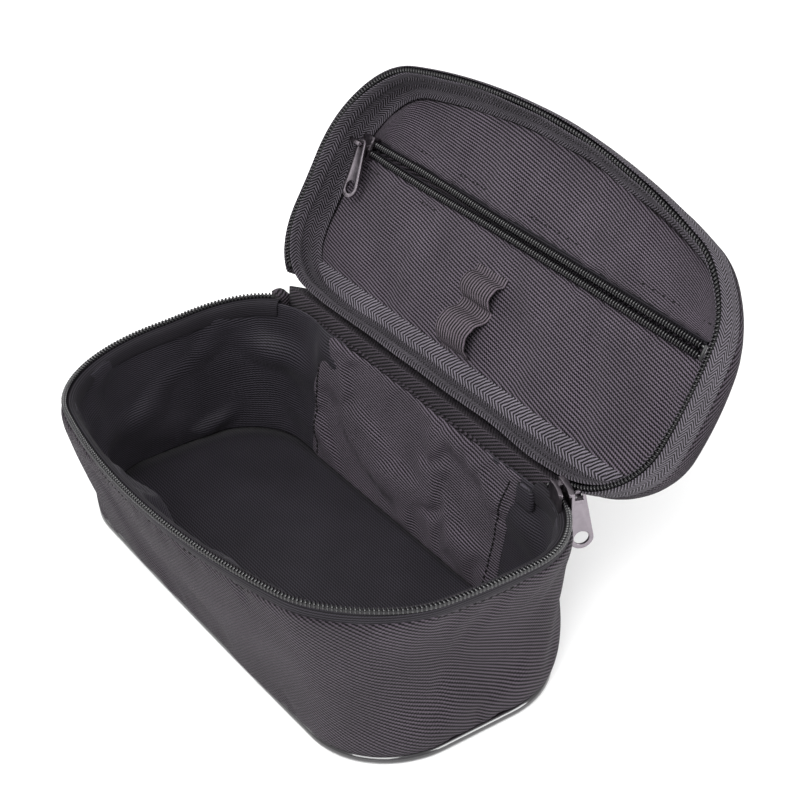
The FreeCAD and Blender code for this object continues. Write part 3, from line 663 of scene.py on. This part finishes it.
bm = lay_cloth(floor_points(3.0, 3.3, crown=0.6), join_columns=True)
use_plan_uv(bm)
floor_lining = piece("bottom_lining_cloth", bm, INNER_CLOTH, "base", "lining_cloth", ["bottom_lining"])
thicken(floor_lining, 0.4)
bm = lay_cloth(floor_points(1.2, 0.0), join_columns=True)
use_plan_uv(bm)
for vertex in bm.verts:
    vertex.co.z = max(vertex.co.z, 0.0)
bottom_cloth = piece("bottom_outer_cloth", bm, OUTER_CLOTH, "base", "outer_cloth",
                     ["bottom_panel", "bottom_board"], inside_out=True)
thicken(bottom_cloth, 1.2)
print("floor and underside made")

# %% [markdown]
# ## Tubes and rows of small parts
# Piping and the coil's cord are tubes along a plan. Teeth and stitches are one small bead
# copied at an even spacing along a path; measuring the path's own length keeps the
# spacing true round the corners.

# %% Tubes and beads
def tube(path, radius, sides=10, closed=False):
    """A tube round a path of points in mm."""
    path = np.asarray(path, float)
    ends = np.vstack([path[-2:-1], path, path[1:2]]) if closed else np.vstack([path[:1], path, path[-1:]])
    run = ends[2:] - ends[:-2]
    run /= np.linalg.norm(run, axis=1, keepdims=True)
    side = np.cross(run, (0.0, 0.0, 1.0))
    side /= np.linalg.norm(side, axis=1, keepdims=True)
    top = np.cross(side, run)
    angles = np.linspace(0, math.tau, sides + 1)
    points = path[:, None] + radius * (np.cos(angles)[None, :, None] * side[:, None]
                                       + np.sin(angles)[None, :, None] * top[:, None])
    bm = lay_cloth(points, join_columns=closed, join_rows=True)
    if not closed:
        loose = [edge for edge in bm.edges if edge.is_boundary]
        bmesh.ops.holes_fill(bm, edges=loose, sides=0)
    return bm


def bead_row(path, normals, pitch, size, sides=(8, 6), shift=0.0, lean=0.0):
    """Ellipsoid beads along a path in mm: size is (along, across, high) and across follows the normals."""
    path, normals = np.asarray(path, float), np.asarray(normals, float)
    travel = np.concatenate([[0], np.cumsum(np.linalg.norm(np.diff(path, axis=0), axis=1))])
    spots = np.arange(pitch / 2 + shift, travel[-1] - pitch / 2, pitch)
    bead = bmesh.new()
    bmesh.ops.create_uvsphere(bead, u_segments=sides[0], v_segments=sides[1], radius=0.5 * MM, calc_uvs=True)
    bead_mesh = bpy.data.meshes.new("bead")
    bead.to_mesh(bead_mesh)
    bead.free()
    row = bmesh.new()
    for spot in spots:
        centre = Vector([np.interp(spot, travel, path[:, axis]) for axis in range(3)]) * MM
        ahead = Vector([np.interp(spot + 0.3, travel, path[:, axis]) for axis in range(3)]) * MM - centre
        ahead.normalize()
        across = Vector([np.interp(spot, travel, normals[:, axis]) for axis in range(3)])
        across = (across - ahead * across.dot(ahead)).normalized()
        across.rotate(Matrix.Rotation(lean, 3, ahead.cross(across)))
        high = ahead.cross(across).normalized()
        ahead = across.cross(high)
        before = len(row.verts)
        row.from_mesh(bead_mesh)
        row.verts.ensure_lookup_table()
        place = Matrix((ahead * size[0], across * size[1], high * size[2])).transposed().to_4x4()
        place.translation = centre
        bmesh.ops.transform(row, matrix=place, verts=row.verts[before:])
    bpy.data.meshes.remove(bead_mesh)
    return row


def ring_path(loop, inset, height, first, last, lift=None):
    """Part of a plan as 3D points and its outward normals."""
    normals = outward(loop)
    flat = loop - normals * inset
    extra = [lift(*spot) if lift else 0.0 for spot in loop]
    points = [(flat[k, 0], flat[k, 1], height + extra[k]) for k in range(first, last + 1)]
    return np.array(points), np.array([(*normals[k], 0.0) for k in range(first, last + 1)])


print("tubes and beads ready")

# %% [markdown]
# ## Piping and the base's coil
# The piping is one closed tube round the bottom, tucked in a little at the front and left. The
# coil is a row of beads on a thin cord: each turn of a nylon coil shows as one tooth.

# %% Piping and base coil
path, piping_normals = ring_path(BOTTOM, 0.5, 1.75, 0, STATIONS - 1)
tuck = 1.1 * np.clip(-piping_normals[:, 1], 0, 1) * np.clip(0.6 - piping_normals[:, 0], 0, 1)
path -= piping_normals * tuck[:, None]
piece("bottom_piping_cord", tube(path, 1.6, sides=12, closed=True), PIPING_COVER, "base", "piping",
      ["bottom_piping"])
TOOTH_PITCH = 1.35
COIL_WIDTH = 2.3
coil_path, coil_normals = ring_path(RIM, 1.25, RIM_Z - 1.05, ZIP_START, ZIP_END, rim_lift)
bm = bead_row(coil_path, coil_normals, TOOTH_PITCH, (0.98, COIL_WIDTH, 2.3), lean=0.25)
lower_teeth = piece("lower_zip_teeth", bm, NYLON_COIL, "base", "zip_coil", ["lower_zip_coil"])
core_path = coil_path - (0, 0, 0.35)
piece("lower_zip_cord", tube(core_path, 0.7, 8), COIL_CORE, "base", "zip_coil")
print("teeth on the base:", len(lower_teeth.data.polygons) // 48)

# %% [markdown]
# ## Zip tape on the base
# The tape that carries the coil shows as a smooth dark band about 4 mm high outside, and
# it is sewn down inside over the top of the lining. It is one strip folded over the rim.
# Stitches are short beads of thread. Those of the back seams lie on settled cloth, so their
# places are found by casting rays at it.

# %% Base zip tape and stitching
TAPE_PROFILE = [(56.6, 0.5), (58.2, 0.35), (59.6, 0.6), (60.6, 1.0), (60.9, 1.8), (60.8, 2.8), (60.2, 3.7),
                (58.4, 4.1), (56.2, 4.2), (54.8, 4.0)]
tape_points = wall_points(TAPE_PROFILE, ZIP_START - 1, ZIP_END + 1)
bm = lay_cloth(tape_points)
lower_tape = piece("lower_zip_tape_cloth", bm, ZIP_TAPE, "base", "zip_tape", ["lower_zip_tape"])
thicken(lower_tape, 0.4)
soften(lower_tape)
stitch_path = np.array([column[0] for column in wall_points([(56.3, -0.1)], ZIP_START, ZIP_END)])
bm = bead_row(stitch_path, coil_normals, 2.6, (1.7, 0.4, 0.4), sides=(6, 4))
piece("base_rim_stitches", bm, THREAD, "base", "zip_tape")
cloth_tree = BVHTree.FromObject(back_lining, bpy.context.evaluated_depsgraph_get())
seams = bmesh.new()
for low_x, high_x, side in ((*BACK_SEAM_LEFT, 1), (*BACK_SEAM_RIGHT, -1)):
    path = []
    for height in np.linspace(5, 58, 30):
        share = height / RIM_Z
        start = Vector((back_seam(low_x, high_x, share) + 4.4 * side, 0.0, height))
        hit = cloth_tree.ray_cast(start * MM, Vector((0, 1, 0)))[0]
        path.append((start.x, hit.y / MM - 0.1, height))
    merge(seams, bead_row(path, [(1.0, 0.0, 0.0)] * 30, 2.4, (2.1, 0.8, 0.9), sides=(6, 4)))
piece("back_lining_stitches", seams, THREAD, "base", "lining_cloth")
print("tape and stitches made")

# %% [markdown]
# ## The lid's own frame
# Lid pieces are laid out closed, over the base, where heights are easy to read. LID_OPEN
# then turns them back about the hinge. across is the distance from the hinge line.

# %% Lid placing
LID_OPENING = math.radians(122.5)
hinge_m = hinge * MM
LID_OPEN = Matrix.Translation(hinge_m) @ Matrix.Rotation(-LID_OPENING, 4, "X") @ Matrix.Translation(-hinge_m)
LID_TWIST = 3.9


def twist(x, y):
    """The loose free edge of the lid twists: its right end leans further back."""
    return LID_TWIST * x / HALF_LENGTH * (HINGE_Y - y) / (2 * HINGE_Y)


def lid_points(profile, first=0, last=STATIONS - 1, ripple=0.0, seed=0.0):
    """Points round the lid. profile is a list of (height over the rim, inset, share of the top's plan)."""
    rim_normals = outward(LID_RIM)
    points = []
    for station in range(first, last + 1):
        column = []
        for height, inset, share in profile:
            spot = LID_RIM[station] * (1 - share) + LID_TOP[station] * share
            swell = ripple * wave(*spot, 24.0, seed, height * 2)
            spot = spot + rim_normals[station] * (swell - inset)
            fade = max(0.0, 1.0 - height / 20)
            column.append((spot[0], spot[1], RIM_Z + height + twist(*LID_RIM[station]) * fade))
        points.append(column)
    return points


def lid_piece(name, bm, *args, **kwargs):
    bm.transform(LID_OPEN)
    return piece(name, bm, *args, **kwargs)


print("the lid opens by", round(math.degrees(LID_OPENING), 1), "degrees")

# %% [markdown]
# ## Rim of the lid
# The lid's coil sits over the base's. Outside it a herringbone tape makes the lid's low
# wall, and inside a second strip of the same tape covers the seam as far as the lining.

# %% Lid rim
LINING_DEPTH = 14.4
coil_path, coil_normals = ring_path(LID_RIM, 1.45, RIM_Z + 1.3, ZIP_START, ZIP_END, twist)
bm = bead_row(coil_path, coil_normals, TOOTH_PITCH, (0.98, COIL_WIDTH, 2.3), shift=0.6, lean=-0.25)
lid_piece("upper_zip_teeth", bm, NYLON_COIL, "lid", "zip_coil", ["upper_zip_coil"])
bm = tube(coil_path + (0, 0, 0.35), 0.7, 8)
lid_piece("upper_zip_cord", bm, COIL_CORE, "lid", "zip_coil")

TAPE_OUTSIDE = [(0.5, 0.35, 0.0), (1.4, 0.15, 0.0), (2.6, 0.1, 0.0), (5.0, 0.1, 0.0), (8.0, 0.1, 0.05),
                (11.2, 0.3, 0.1), (12.2, 0.7, 0.12)]
bm = lay_cloth(lid_points(TAPE_OUTSIDE, ZIP_START - 1, ZIP_END + 1, ripple=0.3, seed=2.0))
upper_tape = lid_piece("upper_zip_tape_cloth", bm, HERRINGBONE_TAPE, "lid", "zip_tape", ["upper_zip_tape"])
thicken(upper_tape, 0.5)
soften(upper_tape)

GUSSET = [(1.0, 2.1, 0.0), (1.5, 2.7, 0.0), (4.0, 3.0, 0.0), (4.9, 3.7, 0.0), (5.8, 3.0, 0.05),
          (8.0, 2.9, 0.1), (11.5, 3.0, 0.2), (13.4, 3.6, 0.3), (14.3, 5.2, 0.3)]
bm = lay_cloth(lid_points(GUSSET, ripple=1.0, seed=5.0), join_columns=True)
gusset = lid_piece("lid_gusset_binding", bm, HERRINGBONE_TAPE, "lid", "zip_tape", ["lid_seam_binding"],
                   inside_out=True)
thicken(gusset, 0.5)
soften(gusset)
print("lid rim made")

# %% [markdown]
# ## The padded top
# The lid's top is a thin cushion: outer cloth over a foam sheet, rounded over at the edge
# and crowned in the middle. It is a closed form, so it swells the same way a pad does.

# %% Lid pad
CROWN = 1.6


def pad_points(rings=12):
    """The pad from the middle of its inner face, round its edge, to the middle of its outer face."""
    normals = outward(LID_TOP)
    middle = np.array([0.0, HINGE_Y - LID_WIDTH / 2 - 6])
    inner_level, outer_level = 15.6, 17.6
    points = []
    for station in range(STATIONS):
        column = []
        inner = LID_TOP[station] - normals[station] * 2.6
        for share in np.linspace(1, 0, rings):
            spot = inner * (1 - share) + middle * share
            column.append((*spot, RIM_Z + inner_level))
        for height, inset, share in ((13.6, 1.6, 0.3), (11.6, 1.2, 0.1), (11.0, 0.5, 0.0), (11.8, -0.1, 0.1),
                                     (13.6, -0.3, 0.15), (15.5, -0.2, 0.4), (16.9, 0.4, 0.85)):
            spot = LID_RIM[station] * (1 - share) + LID_TOP[station] * share - normals[station] * inset
            ripple = 0.5 * wave(*spot, 22.0, 9.0, height * 3)
            spot = spot + normals[station] * ripple
            fade = max(0.0, 1.0 - height / 20)
            column.append((*spot, RIM_Z + height + twist(*LID_RIM[station]) * fade))
        outer = LID_TOP[station] - normals[station] * 2.4
        for share in np.linspace(0, 1, rings):
            spot = outer * (1 - share) + middle * share
            crown = CROWN * (1 - (1 - share) ** 2.2) + 0.7 * wave(*spot, 34.0, 4.0) * min(1.0, share * 4)
            column.append((*spot, RIM_Z + outer_level + crown))
        points.append(column)
    return points


bm = lay_cloth(pad_points(), join_columns=True)
layer = bm.loops.layers.uv[WEAVE]
TOP_EDGE = 17.0
for face in bm.faces:
    if face.calc_center_median().z / MM > RIM_Z + TOP_EDGE:
        for loop in face.loops:
            loop[layer].uv = (loop.vert.co.x / MM, loop.vert.co.y / MM)
lid_pad = lid_piece("lid_padded_top", bm, OUTER_CLOTH, "lid", "outer_cloth",
                    ["lid_top_panel", "lid_foam_pad", "lid_back_wall", "pocket_backing"])
top_direction = (LID_OPEN.to_3x3() @ Vector((0, 0, 1))).normalized()
sewn = [vertex.index for vertex in lid_pad.data.vertices if vertex.normal.dot(top_direction) < 0.35]
settle(lid_pad, slack=0.02, rise=0.8, sink=0.5, pressure=4.0, sewn=sewn)
soften(lid_pad)
print("lid pad:", len(lid_pad.data.polygons), "faces")

# %% [markdown]
# ## Lid lining with its pocket
# Two lining panels meet the pocket's zip. Each is laid in straight rows along the lid, and
# its long edge at the zip is folded under, which makes the soft lip over the coil.

# %% Edge of the lining
def crossings(loop, axis, value):
    """Where a plan crosses one value of x (axis 0) or y (axis 1): its lowest and highest other coordinate."""
    ring = loop[:-1]
    found = []
    other = 1 - axis
    for start, end in zip(ring, np.roll(ring, -1, 0)):
        if (start[axis] - value) * (end[axis] - value) < 0:
            found.append(start[other] + (end[other] - start[other]) * (value - start[axis])
                         / (end[axis] - start[axis]))
    return min(found), max(found)


LINING_WIDTH = LID_WIDTH - 10.4
LINING_EDGE = plan(LENGTH - 11.5, LINING_WIDTH, (23, 23, 25, 19), (0, -4.2, 16.2, 5.0),
                   (0.4, HINGE_Y - 4.4 - LINING_WIDTH / 2))
SLACK_SWELL = 0.9


def lining_swell(x, across):
    """The lining is slack: it puffs up a little between its seams."""
    return SLACK_SWELL * max(0.0, wave(x, across, 30.0, 11.0) + 0.1)


print("lining edge is", round(np.ptp(LINING_EDGE[:, 0])), "mm long")

# %% [markdown]
# ## Lower lining panel
# The panel between the hinge band and the pocket. Its rows lie closer together near the
# zip, where the cloth rises and is folded under.

# %% Lower panel
PANEL_COLUMNS = 90
lower_rows = [5.9, 6.8, 8, 10, 13, 16, 20, 24, 28, 32, 36, 40, 43, 46, 48.5, 50.5, 52.3, 53.6, 54.2]
points = []
for column in range(PANEL_COLUMNS + 1):
    share = column / PANEL_COLUMNS
    line = []
    for across in lower_rows:
        left, right_end = crossings(LINING_EDGE, 1, HINGE_Y - across)
        x = left + (right_end - left) * share
        ease = min(1.0, (across - 4) / 8, (54.5 - across) / 4)
        fold = 0.9 if across > 53 else 0.0
        rise = lining_swell(x, across) * max(ease, 0.0) + (0.5 if 51 < across < 54 else 0.0) - fold
        line.append((x, HINGE_Y - across, RIM_Z + LINING_DEPTH - rise))
    points.append(line)
lower_lining = lid_piece("lid_lining_lower_cloth", lay_cloth(points), LINING_CLOTH, "lid", "lining_cloth",
                         ["lid_lining_lower"], inside_out=True)
print("lower panel:", len(lower_lining.data.polygons), "faces")

# %% [markdown]
# ## Upper lining panel
# The panel between the pocket and the free edge follows the lid's curved front, so each
# column runs from the zip to wherever that edge is. Both panels then settle.

# %% Upper panel
SLOT_TOP = 60.2
points = []
left, right_end = crossings(LINING_EDGE, 1, HINGE_Y - SLOT_TOP)
for x in np.linspace(left + 0.2, right_end - 0.2, PANEL_COLUMNS + 1):
    edge = HINGE_Y - crossings(LINING_EDGE, 0, x)[0]
    line = []
    for share in (0.0, 0.03, 0.08, 0.14, 0.2, 0.3, 0.42, 0.55, 0.7, 0.85, 1.0):
        across = SLOT_TOP + max(edge - SLOT_TOP, 0.05) * share
        lip = 0.9 if share < 0.05 else 0.0
        rise = lining_swell(x, across) * min(1.0, share * 4) - lip
        line.append((x, HINGE_Y - across, RIM_Z + LINING_DEPTH - rise))
    points.append(line)
upper_lining = lid_piece("lid_lining_upper_cloth", lay_cloth(points), LINING_CLOTH, "lid", "lining_cloth",
                         ["lid_lining_upper"], inside_out=True)
for made in (lower_lining, upper_lining):
    settle(made, slack=0.03, rise=0.9, sink=0.1)
    declare_lining(made)
    thicken(made, 0.5)
    soften(made)
print("lid lining laid")

# %% [markdown]
# ## Hinge band
# A wide herringbone band covers the seam where the lining meets the hinge. It is a low
# cushion of a strip, with one edge turned down.

# %% Hinge band
BAND_HALF = 88
band_points = []
for x in np.linspace(-BAND_HALF, BAND_HALF, 90):
    line = []
    for across in (2.4, 3.6, 5.0, 6.8, 8.6, 10.2, 11.0):
        puff = 0.35 * math.sin(math.pi * (across - 2.4) / 8.6)
        turned_down = 0.5 if across > 10.5 else 0.0
        line.append((x, HINGE_Y - across, RIM_Z + LINING_DEPTH - 0.9 - puff + turned_down))
    band_points.append(line)
hinge_band = lid_piece("hinge_chevron_band", lay_cloth(band_points), HINGE_BAND, "lid", "zip_tape",
                       ["hinge_binding"], inside_out=True)
thicken(hinge_band, 0.5)
soften(hinge_band)
print("hinge band", 2 * BAND_HALF, "mm long")

# %% [markdown]
# ## Pocket zip
# A finer zip than the main one: a coil on each side of the slot, on tapes that run under
# the lining, with a crimp at each end and a row of stitches along each panel.

# %% Pocket zip
POCKET_SLOT = 57.0
ZIP_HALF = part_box("pocket_coil_upper")[1][0] / MM
for side, sign in (("lower", -1), ("upper", 1)):
    across = POCKET_SLOT + sign * 1.6
    xs = np.linspace(-ZIP_HALF, ZIP_HALF, 120)
    path = np.array([(x, HINGE_Y - across - sign * 0.7 * hump(x, -55.0, 30.0), RIM_Z + LINING_DEPTH - 1.5)
                     for x in xs])
    sideways = np.tile((0.0, 1.0, 0.0), (len(path), 1))
    bm = bead_row(path, sideways, 1.2, (0.88, 3.1, 1.8), shift=0.6 * (sign > 0), lean=0.1)
    merge(bm, tube(path + (0, 0, 0.5), 0.6, 6))
    lid_piece(f"pocket_teeth_{side}", bm, NYLON_COIL, "lid", "zip_coil", [f"pocket_coil_{side}"])
    rows = [POCKET_SLOT + sign * reach for reach in (0.6, 2.0, 4.0, 6.5, 8.4)]
    tape = [[(x, HINGE_Y - row, RIM_Z + LINING_DEPTH + 0.75) for row in rows] for x in xs[::2]]
    made = lid_piece(f"pocket_tape_{side}_cloth", lay_cloth(tape), ZIP_TAPE, "lid", "zip_tape",
                     [f"pocket_tape_{side}"], inside_out=True)
    thicken(made, 0.4)
bm = bmesh.new()
for sign in (-1, 1):
    crimp = bmesh.new()
    bmesh.ops.create_cube(crimp, size=1.0)
    size = Matrix.Diagonal((1.8 * MM, 5.4 * MM, 1.9 * MM, 1.0))
    place = Vector((sign * (ZIP_HALF + 1.0), HINGE_Y - POCKET_SLOT, RIM_Z + LINING_DEPTH - 1.0)) * MM
    bmesh.ops.transform(crimp, matrix=Matrix.Translation(place) @ size, verts=crimp.verts)
    bmesh.ops.bevel(crimp, geom=crimp.edges[:], offset=0.4 * MM, segments=2, profile=0.5, affect="EDGES",
                    material=-1)
    merge(bm, crimp)
lid_piece("pocket_zip_crimps", bm, NYLON_COIL, "lid", "zip_coil", ["pocket_zip_stops"])

STITCH_PITCH = 2.4
for name, across in (("upper", 65.4), ("lower", 49.8)):
    left, right_end = crossings(LINING_EDGE, 1, HINGE_Y - across)
    xs = np.linspace(left + 2, right_end - 2, 60)
    path = np.array([(x, HINGE_Y - across, RIM_Z + LINING_DEPTH - 0.15 - lining_swell(x, across) * 0.9)
                     for x in xs])
    sideways = np.tile((0.0, 1.0, 0.0), (len(path), 1))
    bm = bead_row(path, sideways, STITCH_PITCH, (1.6, 0.4, 0.4), sides=(6, 4))
    lid_piece(f"pocket_stitches_{name}", bm, THREAD, "lid", "lining_cloth")
print("pocket zip made, half length", round(ZIP_HALF, 1))

# %% [markdown]
# ## Pen loops
# One strap of ribbed elastic is sewn down at three places and stands up in two arches
# between them. It is a strip with a profile, given its thickness by Solidify.

# %% Pen loops
strap_low, strap_high = (corner[0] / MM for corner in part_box("pen_loop_elastic"))
LOOPS = ((35.2, 4.85), (19.6, 7.0))


def strap_profile():
    """(across, rise) along the strap, from its far tack, over both loops, to its near tack."""
    line = [(43.2, 0.6), (42.0, 0.75), (40.9, 0.7)]
    for centre, radius in LOOPS:
        for angle in np.radians(np.linspace(8, 172, 17)):
            line.append((centre + radius * math.cos(angle), 0.5 + radius * math.sin(angle)))
        line.append((centre - radius - 0.8, 0.7))
    return line + [(11.0, 0.6)]


points = []
for across, rise in strap_profile():
    width = []
    for share in np.linspace(0, 1, 15):
        x = strap_low + (strap_high - strap_low) * share
        curl = 0.3 * (2 * share - 1) ** 2
        width.append((x, HINGE_Y - across, RIM_Z + LINING_DEPTH - rise + curl * min(1.0, rise / 4)))
    points.append(width)
strap = lid_piece("pen_loop_strap", lay_cloth(points), ELASTIC, "lid", "elastic", ["pen_loop_elastic"],
                  inside_out=True)
thicken(strap, 0.9)
soften(strap)
print("strap", round(strap_high - strap_low, 1), "mm wide")

# %% Hinge cloth
def hinge_profile():
    """(y, z) in mm along the outside of the hinge, base first, then the lid in its own closed places."""
    base_part = [(HINGE_Y - 0.9, 54.0), (HINGE_Y - 0.35, 57.5), (HINGE_Y - 0.1, 60.5), (HINGE_Y + 0.1, 62.3)]
    lid_part = []
    for across, height in ((-0.2, 1.0), (0.0, 3.0), (0.3, 6.5), (0.5, 10.0), (0.7, 13.0)):
        spot = LID_OPEN @ (Vector((0, HINGE_Y - across, RIM_Z + height)) * MM) / MM
        lid_part.append((spot.y, spot.z))
    return base_part + lid_part


HINGE_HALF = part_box("hinge_fold")[1][0] / MM + 4.0
LEFT_RUN = 5.0
profile = hinge_profile()
points = [[(x, y, z) for y, z in profile] for x in np.linspace(-HINGE_HALF - LEFT_RUN, HINGE_HALF, 60)]
hinge_cloth = piece("hinge_cloth", lay_cloth(points), OUTER_CLOTH, "base", "zip_tape", ["hinge_fold"])
print("hinge cloth", round(2 * HINGE_HALF + LEFT_RUN), "mm long")

# %% [markdown]
# ## Sliders and pulls
# The cast metal pieces keep the frame's shapes, whose holes and slots are right. A copy is
# merged into clean faces and its edges are bevelled, because cast edges are never sharp
# and the bevel is what catches the light.

# %% Metal pieces
def cast_copy(node, name, bevel, material, slot):
    """A bevelled copy of a frame node, standing for it on the same body."""
    bm = bmesh.new()
    bm.from_mesh(frame["nodes"][node].data)
    bmesh.ops.remove_doubles(bm, verts=bm.verts, dist=1e-6)
    bmesh.ops.dissolve_limit(bm, angle_limit=math.radians(4), verts=bm.verts, edges=bm.edges)
    sharp = [edge for edge in bm.edges
             if len(edge.link_faces) == 2 and edge.calc_face_angle() > math.radians(35)]
    bmesh.ops.bevel(bm, geom=sharp, offset=bevel * MM, segments=2, profile=0.5, affect="EDGES",
                    material=-1, clamp_overlap=True)
    bm.loops.layers.uv.new(WEAVE)
    body = next(key for key, nodes in frame["record"]["behaviour"]["bodies"].items() if node in nodes)
    return piece(name, bm, material, body, slot, [node])


metal = [
    cast_copy("main_slider_body", "main_slider_casting", 0.2, DARK_METAL, "slider_metal"),
    cast_copy("main_pull", "main_pull_tab", 0.25, DARK_METAL, "slider_metal"),
    cast_copy("pocket_slider_body", "pocket_slider_casting", 0.2, DARK_METAL, "slider_metal"),
    cast_copy("pocket_pull", "pocket_pull_tab", 0.25, DARK_METAL, "slider_metal"),
]


def folded_end(node, name, material):
    """The zip's folded cloth end: a soft rounded tab that fills the node's box."""
    low, high = (np.array(corner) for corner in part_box(node))
    bm = bmesh.new()
    bmesh.ops.create_cube(bm, size=1.0)
    bmesh.ops.subdivide_edges(bm, edges=bm.edges[:], cuts=7, use_grid_fill=True)
    layer = bm.loops.layers.uv.new(WEAVE)
    size, middle = high - low, (high + low) / 2
    for vertex in bm.verts:
        unit = np.array(vertex.co) * 2
        ball = unit / max(np.linalg.norm(unit), 1e-6)
        round_off = 0.55 * unit + 0.45 * ball
        crease = 0.05 * math.sin(7 * unit[2] + 3 * unit[0])
        vertex.co = Vector(middle + round_off * size / 2 * (1 - abs(crease)))
    for face in bm.faces:
        for loop in face.loops:
            loop[layer].uv = ((loop.vert.co.x + loop.vert.co.y) / MM, loop.vert.co.z / MM)
    made = piece(name, bm, material, "base", "outer_cloth", [node])
    soften(made)
    return made


folded_end("zip_end_right", "zip_end_right_fold", INNER_CLOTH)
folded_end("zip_end_left", "zip_end_left_fold", OUTER_CLOTH)
print("metal pieces:", [made.name for made in metal])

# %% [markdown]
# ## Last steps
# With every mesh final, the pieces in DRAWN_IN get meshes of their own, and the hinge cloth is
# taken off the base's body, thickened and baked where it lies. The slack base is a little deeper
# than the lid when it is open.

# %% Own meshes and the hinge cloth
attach(hinge_cloth, "base")
DRAWN_IN = ("base_outer_wall", "base_band_lining_cloth", "base_back_lining_cloth", "back_lining_stitches",
            "bottom_lining_cloth", "bottom_outer_cloth", "bottom_piping_cord",
            "lower_zip_teeth", "lower_zip_cord", "lower_zip_tape_cloth", "base_rim_stitches")
for name in DRAWN_IN:
    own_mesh(bpy.data.objects[name])
hinge_cloth.parent = None
del hinge_cloth["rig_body"]
thicken(hinge_cloth, 1.0)
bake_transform(hinge_cloth)
